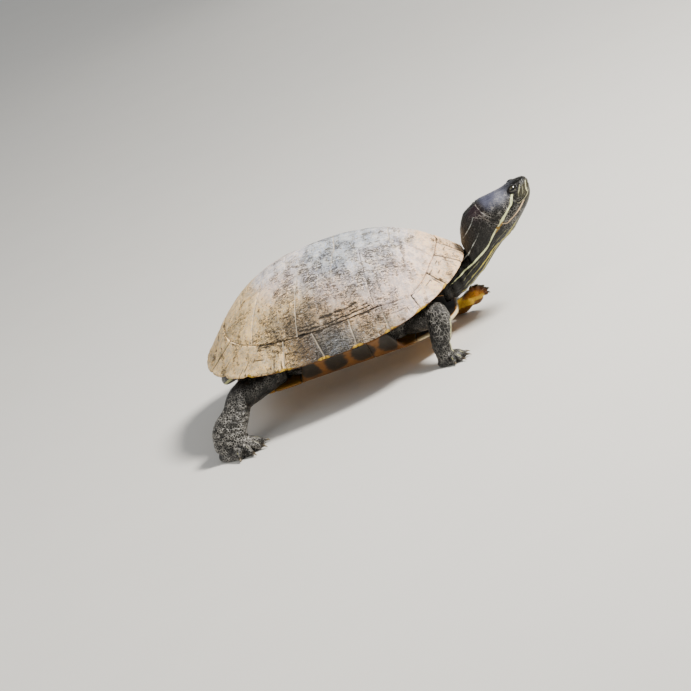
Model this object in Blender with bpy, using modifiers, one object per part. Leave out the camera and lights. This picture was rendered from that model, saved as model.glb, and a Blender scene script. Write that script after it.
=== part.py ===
"""Red-eared slider turtle, life size, standing with its neck stretched and its left forelimb raised.

Lengths are in millimetres in the "shell frame": x forward, y to the turtle's left, z up, with the
origin under the middle of the shell at the level of the plastron (the belly shell). The meshes are
made in metres. The whole animal hangs on one empty, which pitches it by PITCH and sets it on the
floor, so the level floor is a slanted plane in the shell frame.
"""
import math

import bmesh
import bpy
import numpy as np
from mathutils import Matrix, Vector

METRES = 0.001
GAP = 0.36                      # clear space kept between neighbouring solids
PITCH = math.radians(2.6)       # how far the shell points down at the front
FLOOR_DROP = 24.0               # plastron to floor, measured at FLOOR_STATION
FLOOR_STATION = -105.0

# Carapace (upper shell)
SHELL_LENGTH = 220.0
HALF_WIDTH = 82.0
SHELL_HEIGHT = 87.4             # plastron to the top of the dome
OUTLINE_POWER = 2.5             # 2 is an ellipse, more is squarer
FRONT_ROUNDING = 0.4            # how much lower that power is at the very front
TAPER = 0.03                    # how much wider the rear half is than the front half
DOME_CENTRE = 7.0               # the dome's top lies a little forward
DOME_POWER = 2.83
DOME_EDGE_POWER = 1.07
RIM_SIDE, RIM_FRONT, RIM_REAR = 28.0, 45.5, 32.0
RIM_RISE_POWER = 2.2
SCUTE_THICKNESS = 2.8
RIM_THICKNESS = 2.4
SEAM = 0.55                     # width of the cut between two scutes

# Scute layout. Stations are shares of the shell's length, from the front; angles are in degrees
# round the dome's centre, from the front (0) to the rear (180).
VERTEBRAL_SEAMS = (0.225, 0.42, 0.61, 0.81)
VERTEBRAL_SEAM_HALF_WIDTH = 16.5
VERTEBRAL_WIDEST = (0.335, 0.555, 0.72)
VERTEBRAL_HALF_WIDTH = 24.5
PLEURAL_BORDER_ANGLES = (20.0, 68.0, 117.0, 141.6, 167.0)
MARGINAL_SEAMS = (              # (angle at the rim, angle at the inner border)
    (3.0, 5.0), (12.5, 18.0), (30.0, 32.0), (48.0, 47.5), (67.0, 65.0), (86.0, 85.5),
    (104.0, 109.0), (124.0, 125.0), (141.0, 138.0), (153.0, 148.0), (164.0, 157.0),
    (173.0, 169.0), (180.0, 180.0))

# Plastron (belly shell) and bridges
PLASTRON_THICKNESS = 4.0
PLASTRON_ROWS = ("gular", "humeral", "pectoral", "abdominal", "femoral", "anal")
PLASTRON_SEAMS = (91.5, 70.0, 54.0, 19.0, -42.0, -64.0, -96.0)
FRONT_LOBE_START, REAR_LOBE_START = 28.0, -40.0
FRONT_LOBE_HALF_WIDTH, REAR_LOBE_HALF_WIDTH = 49.0, 45.0
BRIDGE_FRONT, BRIDGE_REAR, BRIDGE_RAMP = 44.0, -42.0, 9.0

# Head, in its own frame: s along the head from behind its back edge, n up, both in the midplane
HEAD_ORIGIN = (136.0, 0.0, 62.0)
HEAD_PITCH = math.radians(33.0)
HEAD_PROFILE = (                # (s, top, bottom, half width)
    (3.0, 16.0, -22.3, 14.8), (10.0, 14.3, -22.4, 16.0), (17.0, 10.6, -20.9, 16.0),
    (24.0, 7.2, -19.7, 14.4), (31.0, 4.6, -18.2, 12.0), (37.5, 2.4, -15.4, 10.0),
    (41.6, 0.2, -11.8, 7.4), (44.0, -1.6, -8.4, 4.8), (45.2, -3.4, -5.6, 2.0))
MOUTH_LEVEL = -9.0
EYE_PLACE = (32.1, 6.6, -1.0)   # s, y, n
EYE_RADIUS = 4.2

# Neck: its upper and lower outline in the midplane, and its half widths
NECK_TOP = ((84.0, 38.0), (98.0, 40.0), (111.2, 43.6), (111.5, 52.0), (115.0, 63.5), (120.6, 71.8))
NECK_BOTTOM = ((84.0, 9.0), (98.0, 12.0), (110.5, 18.2), (122.0, 25.0), (132.0, 33.0), (141.5, 40.2))
NECK_HALF_WIDTHS = (13.0, 13.5, 14.0, 14.3, 14.5, 14.7, 14.8)

# Limbs: each route point is (x, y, z, half size fore and aft, half size across)
RIGHT_FORELEG = (
    (54.0, -36.0, 18.0, 13.0, 12.0), (67.0, -49.0, 19.5, 12.0, 10.5), (76.5, -59.5, 20.5, 9.6, 9.0),
    (75.0, -65.0, 10.0, 8.8, 7.8), (72.0, -67.0, 0.0, 7.4, 6.8), (72.0, -68.0, -11.0, 6.8, 6.8))
LEFT_FORELEG = (
    (54.0, 36.0, 18.0, 13.0, 12.0), (68.0, 49.0, 16.5, 11.5, 10.0), (79.5, 49.5, 3.0, 8.8, 8.0),
    (85.5, 40.0, -7.4, 6.8, 6.4), (92.0, 28.0, -7.8, 5.8, 6.4), (102.0, 20.3, -0.8, 4.0, 6.6))
RIGHT_HIND_LEG = (
    (-58.0, -36.0, 16.5, 13.5, 11.5), (-77.0, -50.0, 14.5, 12.5, 11.0), (-90.0, -60.0, 11.5, 10.2, 10.0),
    (-97.0, -68.0, 3.0, 10.5, 9.0), (-105.0, -75.0, -6.0, 13.5, 9.8), (-107.0, -77.0, -19.0, 14.0, 10.5))
LEFT_HIND_LEG = (
    (-58.0, 36.0, 16.5, 13.5, 11.5), (-67.0, 51.0, 16.0, 12.2, 10.6), (-68.0, 64.0, 8.0, 9.8, 9.0),
    (-62.0, 71.0, -1.0, 10.0, 8.8), (-58.0, 77.0, -8.0, 11.5, 9.2), (-56.0, 79.0, -18.0, 12.0, 9.6))
TAIL = (
    (-70.0, 0.0, 18.0, 7.5, 10.0), (-86.0, 2.0, 17.5, 6.5, 8.0), (-99.0, 9.0, 11.0, 5.2, 6.0),
    (-106.0, 20.0, 5.0, 4.0, 4.4), (-108.0, 32.0, 1.0, 2.6, 2.8), (-107.0, 42.0, -1.0, 1.0, 1.0))

# Feet: (toe length, web length, side, rear, height, claw length)
FORE_FOOT = dict(toe=13.5, web=10.0, side=9.0, rear=9.5, height=8.0, claw=4.6)
RAISED_FOOT = dict(FORE_FOOT, toe=15.0, web=12.5, side=8.5, spread=0.6)     # its toes held together
HIND_FOOT = dict(toe=22.0, web=18.5, side=14.0, rear=17.0, height=11.0, claw=5.0)
TOE_ANGLES = (-62.0, -32.0, -4.0, 24.0, 52.0)
TOE_SHARES = (0.82, 0.97, 1.0, 0.98, 0.84)
FOOT_EDGE = 0.9
ANKLE_HEIGHT = 7.0


# ---------------------------------------------------------------- helpers

def smooth_value(points, share):
    """Value at a share (0 to 1) of a smooth curve through evenly spaced values (Catmull-Rom)."""
    values = np.asarray(points, dtype=float)
    last = len(values) - 1
    place = min(max(share, 0.0), 1.0) * last
    start = min(int(place), last - 1)
    t = place - start
    p1, p2 = values[start], values[start + 1]
    p0 = values[start - 1] if start > 0 else 2 * p1 - p2
    p3 = values[start + 2] if start + 2 <= last else 2 * p2 - p1
    return 0.5 * (2 * p1 + (p2 - p0) * t + (2 * p0 - 5 * p1 + 4 * p2 - p3) * t ** 2
                  + (3 * p1 - p0 - 3 * p2 + p3) * t ** 3)


def rounded(angle, power):
    """Point of a unit superellipse at an angle."""
    c, s = math.cos(angle), math.sin(angle)
    return (math.copysign(abs(c) ** (2 / power), c), math.copysign(abs(s) ** (2 / power), s))


def material(name, hex_colour, roughness):
    """A plain Principled material from an sRGB colour written in hexadecimal."""
    made = bpy.data.materials.new(name)
    made.use_nodes = True
    shader = made.node_tree.nodes["Principled BSDF"]
    channels = [int(hex_colour[i:i + 2], 16) / 255 for i in (0, 2, 4)]
    linear = [c / 12.92 if c <= 0.04045 else ((c + 0.055) / 1.055) ** 2.4 for c in channels]
    shader.inputs["Base Color"].default_value = (*linear, 1.0)
    shader.inputs["Roughness"].default_value = roughness
    shader.inputs["Metallic"].default_value = 0.0
    return made


def add_object(name, bm, look, cutter=False):
    """Puts a bmesh whose lengths are in millimetres into the scene as a named object."""
    bmesh.ops.recalc_face_normals(bm, faces=bm.faces)
    bmesh.ops.scale(bm, vec=(METRES,) * 3, verts=bm.verts)
    mesh = bpy.data.meshes.new(name)
    bm.to_mesh(mesh)
    bm.free()
    obj = bpy.data.objects.new(name, mesh)
    if cutter:
        CUTTERS.objects.link(obj)
        obj.hide_render = True
        obj.display_type = "WIRE"
    else:
        PARTS.objects.link(obj)
        mesh.materials.append(look)
        mesh.shade_smooth()
        mesh.set_sharp_from_angle(angle=math.radians(40))
    obj.parent = ROOT
    return obj


def loft(rings):
    """A bmesh through rings of points, with its first and last ring capped."""
    bm = bmesh.new()
    loops = [[bm.verts.new(point) for point in ring] for ring in rings]
    for first, second in zip(loops, loops[1:]):
        for i in range(len(first)):
            j = (i + 1) % len(first)
            bm.faces.new((first[i], first[j], second[j], second[i]))
    for ring in (loops[0], loops[-1]):
        bm.faces.new(ring)
    return bm


def apply_boolean(obj, other, operation):
    """Joins or cuts an object with another one for good."""
    modifier = obj.modifiers.new(operation.lower(), "BOOLEAN")
    modifier.operation = operation
    modifier.solver = "EXACT"
    modifier.object = other
    bpy.context.view_layer.update()
    evaluated = obj.evaluated_get(bpy.context.evaluated_depsgraph_get())
    mesh = bpy.data.meshes.new_from_object(evaluated)
    obj.modifiers.clear()
    old = obj.data
    obj.data = mesh
    bpy.data.meshes.remove(old)


def keep_side(obj, point, normal):
    """Cuts an object with a plane (millimetres, shell frame) and keeps the side the normal leaves."""
    bm = bmesh.new()
    bm.from_mesh(obj.data)
    cut = bmesh.ops.bisect_plane(
        bm, geom=bm.verts[:] + bm.edges[:] + bm.faces[:], dist=1e-7,
        plane_co=Vector(point) * METRES, plane_no=normal, clear_outer=True)
    rim = [item for item in cut["geom_cut"] if isinstance(item, bmesh.types.BMEdge)]
    bmesh.ops.holes_fill(bm, edges=rim, sides=0)
    bmesh.ops.recalc_face_normals(bm, faces=bm.faces)
    bm.to_mesh(obj.data)
    bm.free()


def copy_object(obj, name):
    """A second object with its own copy of the mesh."""
    twin = bpy.data.objects.new(name, obj.data.copy())
    PARTS.objects.link(twin)
    twin.parent = ROOT
    return twin


# ---------------------------------------------------------------- carapace

def outline_power(share):
    """Squareness of the shell's outline at a share of its half length."""
    return OUTLINE_POWER - FRONT_ROUNDING * max(share, 0.0)


def outline_point(direction):
    """Point of the shell's plan outline in a direction (radians) from the dome's centre."""
    low, high = 0.0, SHELL_LENGTH
    for _ in range(40):
        reach = 0.5 * (low + high)
        x = DOME_CENTRE + reach * math.cos(direction)
        y = reach * math.sin(direction)
        share = x / (SHELL_LENGTH / 2)
        power = outline_power(share)
        edge = abs(share) ** power + abs(y / (HALF_WIDTH * (1 - TAPER * share))) ** power
        if edge < 1:
            low = reach
        else:
            high = reach
    return x, y


def rim_height(x):
    """Height of the shell's rim at a station along its length."""
    share = max(-1.0, min(1.0, x / (SHELL_LENGTH / 2)))
    front = (RIM_FRONT - RIM_SIDE) * max(share, 0.0) ** RIM_RISE_POWER
    rear = (RIM_REAR - RIM_SIDE) * max(-share, 0.0) ** RIM_RISE_POWER
    return RIM_SIDE + front + rear


def dome_point(direction, share, drop=0.0):
    """Point of the carapace in a direction, at a share of the way from the dome's centre to the rim."""
    x, y = outline_point(direction)
    height = rim_height(x)
    rise = (SHELL_HEIGHT - height) * (1 - min(share, 1.0) ** DOME_POWER) ** DOME_EDGE_POWER
    return Vector((DOME_CENTRE + share * (x - DOME_CENTRE), share * y, height + rise - drop))


def dome_inside(direction, share, depth):
    """Point at a depth under the carapace, measured square to its surface."""
    step = 0.01
    along = dome_point(direction, share + step) - dome_point(direction, share - step)
    around = dome_point(direction + step, share) - dome_point(direction - step, share)
    return dome_point(direction, share) - along.cross(around).normalized() * depth


def dome_above(x, y):
    """Point of the carapace above a plan point."""
    direction = math.atan2(y, x - DOME_CENTRE)
    rim_x, rim_y = outline_point(direction)
    share = math.hypot(x - DOME_CENTRE, y) / math.hypot(rim_x - DOME_CENTRE, rim_y)
    return dome_point(direction, min(share, 1.0))


def border_share(degrees):
    """Where the marginal scutes begin, as a share of the way to the rim."""
    angle = abs(degrees)
    shoulder = 0.05 * math.exp(-((angle - 46) / 16) ** 2)
    front = -0.028 * math.exp(-(angle / 20) ** 2)
    rear = -0.065 * math.exp(-((180 - angle) / 28) ** 2)
    return 0.868 + shoulder + front + rear


def border_point(degrees, side):
    """Plan point of the inner border of the marginal scutes."""
    point = dome_point(math.radians(degrees) * side, border_share(degrees))
    return point.x, point.y


def station(share):
    """x of a station given as a share of the shell's length from the front."""
    return SHELL_LENGTH * (0.5 - share)


def stretch(start, end, steps):
    """Points from start (kept) to end (left out) of a straight edge."""
    return [tuple(a + (b - a) * i / steps for a, b in zip(start, end)) for i in range(steps)]


def border_run(start, end, side, steps):
    """Points of the border from one angle (kept) to another (left out)."""
    return [border_point(start + (end - start) * i / steps, side) for i in range(steps)]


def scute(name, outline):
    """One plate of the dome: its outline drawn in towards the middle on the dome, then thickened."""
    points = [Vector(point) for point in outline]
    middle = sum(points, Vector((0.0, 0.0))) / len(points)
    reach = min((point - middle).length for point in points)
    shrink = 1 - 0.5 * SEAM / (0.8 * reach)
    bm = bmesh.new()
    rings = []
    for share in (1.0, 0.88, 0.5):
        plan = [middle + (point - middle) * share * shrink for point in points]
        rings.append([bm.verts.new(dome_above(p.x, p.y)) for p in plan])
    hub = bm.verts.new(dome_above(middle.x, middle.y))
    count = len(points)
    for i in range(count):
        j = (i + 1) % count
        for outer, inner in zip(rings, rings[1:]):
            bm.faces.new((outer[i], outer[j], inner[j], inner[i]))
        bm.faces.new((rings[-1][i], rings[-1][j], hub))
    bmesh.ops.recalc_face_normals(bm, faces=bm.faces)
    if hub.normal.z < 0:
        bmesh.ops.reverse_faces(bm, faces=bm.faces)
    mesh = bpy.data.meshes.new(name)
    bmesh.ops.scale(bm, vec=(METRES,) * 3, verts=bm.verts)
    bm.to_mesh(mesh)
    bm.free()
    mesh.materials.append(LOOKS["carapace"])
    obj = bpy.data.objects.new(name, mesh)
    PARTS.objects.link(obj)
    obj.parent = ROOT
    thickness = obj.modifiers.new("thickness", "SOLIDIFY")
    thickness.thickness = SCUTE_THICKNESS * METRES
    thickness.offset = -1.0
    return obj


def vertebral_corner(index, side):
    """Seam corner between vertebral scutes index and index + 1 (counted from 1)."""
    return station(VERTEBRAL_SEAMS[index - 1]), side * VERTEBRAL_SEAM_HALF_WIDTH


def vertebral_flank(index, side):
    """Side corner of vertebral scute index (2 to 4), where two pleurals meet."""
    return station(VERTEBRAL_WIDEST[index - 2]), side * VERTEBRAL_HALF_WIDTH


def vertebral_scutes():
    """The row of five scutes along the back."""
    front, rear = PLEURAL_BORDER_ANGLES[0], PLEURAL_BORDER_ANGLES[-1]
    first = border_run(-front, front, 1, 6)
    first += stretch(border_point(front, 1), vertebral_corner(1, 1), 3)
    first += stretch(vertebral_corner(1, 1), vertebral_corner(1, -1), 3)
    first += stretch(vertebral_corner(1, -1), border_point(front, -1), 3)
    scute("vertebral_1", first)
    for index in (2, 3, 4):
        corners = (vertebral_corner(index - 1, 1), vertebral_flank(index, 1), vertebral_corner(index, 1),
                   vertebral_corner(index, -1), vertebral_flank(index, -1), vertebral_corner(index - 1, -1))
        outline = []
        for start, end in zip(corners, corners[1:] + corners[:1]):
            outline += stretch(start, end, 2)
        scute(f"vertebral_{index}", outline)
    last = [border_point(rear + (180 - rear) * i / 3, 1) for i in range(3)]
    last += [border_point(180 - (180 - rear) * i / 3, -1) for i in range(3)]
    last += stretch(border_point(rear, -1), vertebral_corner(4, -1), 3)
    last += stretch(vertebral_corner(4, -1), vertebral_corner(4, 1), 3)
    last += stretch(vertebral_corner(4, 1), border_point(rear, 1), 3)
    scute("vertebral_5", last)


def pleural_scutes():
    """The four scutes on each side, between the back and the rim."""
    for side, word in ((-1, "right"), (1, "left")):
        tops = ([border_point(PLEURAL_BORDER_ANGLES[0], side), vertebral_corner(1, side)],
                [vertebral_flank(2, side), vertebral_corner(2, side)],
                [vertebral_flank(3, side), vertebral_corner(3, side)],
                [vertebral_flank(4, side), vertebral_corner(4, side)])
        ends = (vertebral_flank(2, side), vertebral_flank(3, side), vertebral_flank(4, side),
                border_point(PLEURAL_BORDER_ANGLES[4], side))
        for index in range(4):
            low, high = PLEURAL_BORDER_ANGLES[index], PLEURAL_BORDER_ANGLES[index + 1]
            outline = stretch(tops[index][0], tops[index][1], 2)
            outline += stretch(tops[index][1], ends[index], 2)
            if index < 3:
                outline += stretch(ends[index], border_point(high, side), 4)
            outline += border_run(high, low, side, 5)
            if index > 0:
                outline += stretch(border_point(low, side), tops[index][0], 4)
            scute(f"pleural_{word}_{index + 1}", outline)


def marginal_section(rim_degrees, border_degrees, side):
    """Cross-section of the rim: over the top to the edge, then back under to the inner face."""
    def across(step, drop):
        angle = math.radians(border_degrees + (rim_degrees - border_degrees) * step) * side
        inner = border_share(border_degrees) + SEAM / 90
        return dome_point(angle, inner + (1 - inner) * step, drop)

    section = [across(step, 0.0) for step in (0.0, 0.35, 0.7, 1.0)]
    section.append(across(0.98, 0.0))
    section[-1].z = section[-2].z - RIM_THICKNESS
    section.append(across(0.4, 0.0))
    section[-1].z = section[3].z - 0.5 * RIM_THICKNESS
    section.append(across(0.04, SCUTE_THICKNESS + 0.8))
    return section


def rim_scutes():
    """The nuchal scute over the neck, and twelve marginal scutes on each side."""
    nuchal_rim, nuchal_border = MARGINAL_SEAMS[0]
    half_seam = math.degrees(0.5 * SEAM / HALF_WIDTH)
    rings = []
    for step in range(3):
        share = step - 1
        rings.append(marginal_section(share * (nuchal_rim - half_seam),
                                      share * (nuchal_border - half_seam), 1))
    add_object("nuchal", loft(rings), LOOKS["carapace"])
    for side, word in ((-1, "right"), (1, "left")):
        for index, (start, end) in enumerate(zip(MARGINAL_SEAMS, MARGINAL_SEAMS[1:]), 1):
            rings = []
            for step in range(4):
                share = step / 3
                inset = half_seam * (1 - 2 * share)
                rim = start[0] + (end[0] - start[0]) * share + inset
                border = start[1] + (end[1] - start[1]) * share + inset
                rings.append(marginal_section(rim, border, side))
            add_object(f"marginal_{word}_{index}", loft(rings), LOOKS["carapace"])


# ---------------------------------------------------------------- plastron

def lobe_half_width(x):
    """Half width of the flat of the plastron."""
    if x > FRONT_LOBE_START:
        share = min((x - FRONT_LOBE_START) / (PLASTRON_SEAMS[0] + 1.5 - FRONT_LOBE_START), 1.0)
        return FRONT_LOBE_HALF_WIDTH * (1 - share ** 2.6) ** 0.45
    if x < REAR_LOBE_START:
        share = min((REAR_LOBE_START - x) / (REAR_LOBE_START - PLASTRON_SEAMS[-1] + 2.5), 1.0)
        return REAR_LOBE_HALF_WIDTH * (1 - share ** 2.8) ** 0.45
    blend = (x - REAR_LOBE_START) / (FRONT_LOBE_START - REAR_LOBE_START)
    return REAR_LOBE_HALF_WIDTH + (FRONT_LOBE_HALF_WIDTH - REAR_LOBE_HALF_WIDTH) * blend


def plastron_level(x):
    """Height of the plastron's underside: flat, turned up a little at both ends."""
    front = max(x - 60.0, 0.0) / 39.0
    rear = max(-60.0 - x, 0.0) / 36.0
    return 4.0 * front ** 2 + 2.0 * rear ** 2


def bridge_share(x):
    """1 where the plastron joins the rim through the bridge, 0 where it ends in a free edge."""
    front = (BRIDGE_FRONT - x) / BRIDGE_RAMP
    rear = (x - BRIDGE_REAR) / BRIDGE_RAMP
    ramp = max(0.0, min(1.0, front, rear))
    return ramp * ramp * (3 - 2 * ramp)


def plastron_section(x):
    """Cross-section of the plastron and its bridges at one station."""
    flat = lobe_half_width(x)
    level = plastron_level(x)
    share = bridge_share(x)
    power = outline_power(x / (SHELL_LENGTH / 2))
    rim_y = 0.955 * HALF_WIDTH * (1 - abs(x / (SHELL_LENGTH / 2)) ** power) ** (1 / power)
    rim_z = rim_height(x) - RIM_THICKNESS - 0.9
    below = [(0.0, level), (0.55 * flat, level), (0.9 * flat, level + 0.25)]
    free_edge = [(flat, level + 1.2), (flat + 0.2, level + 2.2), (flat, level + 3.0)]
    joined = [(flat + 2.5, level + 2.6),
              (0.45 * flat + 0.55 * rim_y, level + 0.45 * (rim_z - level)), (rim_y, rim_z)]
    for free, bridge in zip(free_edge, joined):
        below.append(tuple(a + (b - a) * share for a, b in zip(free, bridge)))
    thick = PLASTRON_THICKNESS
    free_inner = [(flat - 1.4, level + thick - 0.2), (0.9 * flat, level + thick), (0.85 * flat, level + thick)]
    joined_inner = [(rim_y - 4.4, rim_z), (0.5 * flat + 0.5 * rim_y - 3.2, level + 0.45 * (rim_z - level) + 3.2),
                    (flat - 1.0, level + thick)]
    above = []
    for free, bridge in zip(free_inner, joined_inner):
        above.append(tuple(a + (b - a) * share for a, b in zip(free, bridge)))
    above += [(0.55 * flat, level + thick), (0.0, level + thick)]
    half = below + above
    ring = [Vector((x, y, z)) for y, z in half]
    ring += [Vector((x, -y, z)) for y, z in reversed(half[1:-1])]
    return ring


def plastron():
    """Six rows of paired scutes under the belly; the middle rows carry the bridges."""
    for word, front, rear in zip(PLASTRON_ROWS, PLASTRON_SEAMS, PLASTRON_SEAMS[1:]):
        steps = 4 if word in ("pectoral", "abdominal") else 3
        front, rear = front - GAP / 2, rear + GAP / 2
        rings = [plastron_section(front + (rear - front) * step / steps) for step in range(steps + 1)]
        add_object(f"plastron_{word}", loft(rings), LOOKS["plastron"])


# ---------------------------------------------------------------- flesh

def trunk_mesh(grow):
    """The body inside the shell; grow swells it, to cut clear space into what meets it."""
    columns = 28
    rings = []
    depth = SCUTE_THICKNESS + 1.0 - grow
    for kind in range(9):
        ring = []
        for column in range(columns):
            degrees = 360.0 * column / columns
            angle = math.radians(degrees)
            folded = degrees if degrees <= 180 else 360 - degrees
            edge = border_share(folded)
            rim = dome_point(angle, 1.0)
            floor = plastron_level(rim.x * 0.6) + PLASTRON_THICKNESS + GAP + 0.1 - grow
            if kind < 4:
                share = (0.12, 0.4, 0.65, edge - 0.03)[kind]
                ring.append(dome_inside(angle, share, depth))
                continue
            share, height = ((edge - 0.025, rim.z + 9.0), (edge - 0.03, rim.z + 1.0),
                             (edge - 0.18, floor + 0.55 * (rim.z - floor)), (0.57, floor + 2.5),
                             (0.52, floor))[kind - 4]
            share += grow / 90
            ring.append(Vector((DOME_CENTRE + share * (rim.x - DOME_CENTRE), share * rim.y, height)))
        rings.append(ring)
    bm = loft(rings)
    bmesh.ops.triangulate(bm, faces=bm.faces, quad_method="FIXED")
    return bm


def limb_rings(route, sides, steps):
    """Rings round a limb's route, flattened by the two half sizes given with each point."""
    rings = []
    for step in range(steps + 1):
        share = step / steps
        point = smooth_value(route, share)
        ahead = smooth_value(route, min(share + 0.02, 1.0)) - smooth_value(route, max(share - 0.02, 0.0))
        tangent = Vector(ahead[:3]).normalized()
        across = tangent.cross(Vector((1.0, 0.0, 0.0)))
        if across.length < 0.3:
            across = tangent.cross(Vector((0.0, 0.0, 1.0)))
        across.normalize()
        fore = across.cross(tangent)
        ring = []
        for side in range(sides):
            c, s = rounded(2 * math.pi * side / sides, 2.2)
            ring.append(Vector(point[:3]) + fore * c * point[3] + across * s * point[4])
        rings.append(ring)
    return rings


def head_point(s, y, n):
    """A point of the head's frame in the shell frame."""
    c, k = math.cos(HEAD_PITCH), math.sin(HEAD_PITCH)
    return Vector((HEAD_ORIGIN[0] + s * c - n * k, HEAD_ORIGIN[1] + y, HEAD_ORIGIN[2] + s * k + n * c))


def head_ring(s, top, bottom, half_width, sides=16):
    """One cross-section of the head."""
    ring = []
    for side in range(sides):
        c, k = rounded(2 * math.pi * side / sides, 2.35)
        ring.append(head_point(s, half_width * c, 0.5 * (top + bottom) + 0.5 * (top - bottom) * k))
    return ring


def head_and_neck():
    """Head parted into skull and lower jaw at the mouth's level, eyes in their sockets, and the neck."""
    steps = 13
    profile = [smooth_value(HEAD_PROFILE, step / steps) for step in range(steps + 1)]
    head = add_object("head", loft([head_ring(*row) for row in profile]), LOOKS["skin"])
    jaw = copy_object(head, "lower_jaw")
    down = head_point(0, 0, -1) - head_point(0, 0, 0)
    keep_side(head, head_point(20, 0, MOUTH_LEVEL + GAP / 2), down)
    keep_side(jaw, head_point(20, 0, MOUTH_LEVEL - GAP / 2), -down)
    for side, word in ((-1, "right"), (1, "left")):
        place = head_point(EYE_PLACE[0], side * EYE_PLACE[1], EYE_PLACE[2])
        for radius, name in ((EYE_RADIUS + GAP, f"socket_{word}"), (EYE_RADIUS, f"eye_{word}")):
            bm = bmesh.new()
            bmesh.ops.create_uvsphere(bm, u_segments=12, v_segments=7, radius=radius,
                                      matrix=Matrix.Translation(place))
            ball = add_object(name, bm, LOOKS["eye"], cutter=name.startswith("socket"))
            if name.startswith("socket"):
                apply_boolean(head, ball, "DIFFERENCE")
    back = HEAD_PROFILE[0]
    rings = []
    sides = 16
    neck_steps = 9
    end_s = back[0] - GAP
    top_end, bottom_end = head_point(end_s, 0, back[1]), head_point(end_s, 0, back[2])
    top_rail = [*NECK_TOP, (top_end.x, top_end.z)]
    bottom_rail = [*NECK_BOTTOM, (bottom_end.x, bottom_end.z)]
    for step in range(neck_steps + 1):
        share = step / neck_steps
        top = smooth_value(top_rail, share)
        bottom = smooth_value(bottom_rail, share)
        middle = 0.5 * (top + bottom)
        reach = 0.5 * (top - bottom)
        half_width = float(smooth_value(NECK_HALF_WIDTHS, share))
        ring = []
        for side in range(sides):
            c, k = rounded(2 * math.pi * side / sides, 2.35)
            ring.append(Vector((middle[0] + reach[0] * k, half_width * c, middle[1] + reach[1] * k)))
        rings.append(ring)
    return add_object("neck", loft(rings), LOOKS["skin"])


def floor_height(x):
    """Height of the level floor in the shell frame, which is pitched against it."""
    return -FLOOR_DROP + (x - FLOOR_STATION) * math.tan(PITCH)


def foot_mesh(frame, toe, web, side, rear, height, claw, spread=1.0):
    """A webbed, clawed foot with a flat sole, spread round its middle; frame places it."""
    angles = [spread * degrees for degrees in TOE_ANGLES]
    outline = []                # (angle, reach, share of the height at the inner rings)
    for index, (degrees, share) in enumerate(zip(angles, TOE_SHARES)):
        reach = toe * share
        outline += [(degrees - 8, reach * 0.97, 0.62), (degrees - 2.5, reach + 0.8, 0.7),
                    (degrees, reach + claw, 0.75), (degrees + 2.5, reach + 0.8, 0.7),
                    (degrees + 8, reach * 0.97, 0.62)]
        if index < len(angles) - 1:
            outline.append((0.5 * (degrees + angles[index + 1]), web * share, 0.35))
    heel_steps = 7
    first, last = angles[-1] + 26, angles[0] - 22 + 360
    for step in range(heel_steps + 1):
        degrees = first + (last - first) * step / heel_steps
        angle = math.radians(degrees)
        reach = 1 / math.hypot(math.cos(angle) / rear, math.sin(angle) / side)
        outline.append((degrees, reach, 0.8))
    rings = [[], [], [], []]
    for degrees, reach, lift in outline:
        angle = math.radians(degrees)
        plan = Vector((math.cos(angle), math.sin(angle), 0.0))
        rings[0].append(frame @ (plan * reach))
        rings[1].append(frame @ (plan * reach + Vector((0, 0, FOOT_EDGE))))
        rings[2].append(frame @ (plan * min(reach, toe) * 0.8 + Vector((0, 0, 0.62 * height * lift))))
        rings[3].append(frame @ (plan * min(reach, toe) * 0.45 + Vector((0, 0, 0.9 * height))))
    bm = bmesh.new()
    loops = [[bm.verts.new(point) for point in ring] for ring in rings]
    sole = bm.verts.new(frame @ Vector((0, 0, 0)))
    crown = bm.verts.new(frame @ Vector((0, 0, height)))
    count = len(outline)
    for i in range(count):
        j = (i + 1) % count
        for first_loop, second_loop in zip(loops, loops[1:]):
            bm.faces.new((first_loop[i], first_loop[j], second_loop[j], second_loop[i]))
        bm.faces.new((loops[-1][i], loops[-1][j], crown))
        bm.faces.new((loops[0][j], loops[0][i], sole))
    return bm


def frame_matrix(place, forward, up):
    """Axes (forward, left, up) at a place."""
    up = Vector(up).normalized()
    left = up.cross(Vector(forward)).normalized()
    forward = left.cross(up)
    matrix = Matrix((forward, left, up)).transposed().to_4x4()
    matrix.translation = Vector(place)
    return matrix


def leg(name, route, foot, frame, trunk_cutter, cut_height, cut_normal=None):
    """A leg loft joined to its foot, cut free of the trunk and parted again above the foot."""
    whole = add_object(name, loft(limb_rings(route, 12, 9)), LOOKS["skin"])
    paddle = add_object(name + "_paddle", foot_mesh(frame, **foot), LOOKS["skin"], cutter=True)
    apply_boolean(whole, paddle, "UNION")
    apply_boolean(whole, trunk_cutter, "DIFFERENCE")
    sole = copy_object(whole, name.replace("leg", "foot"))
    normal = Vector(cut_normal) if cut_normal else frame.to_3x3() @ Vector((0, 0, 1))
    normal.normalize()
    base = frame @ Vector((0, 0, cut_height)) if not cut_normal else frame.translation + normal * cut_height
    keep_side(whole, base + normal * GAP / 2, -normal)
    keep_side(sole, base - normal * GAP / 2, normal)


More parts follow.
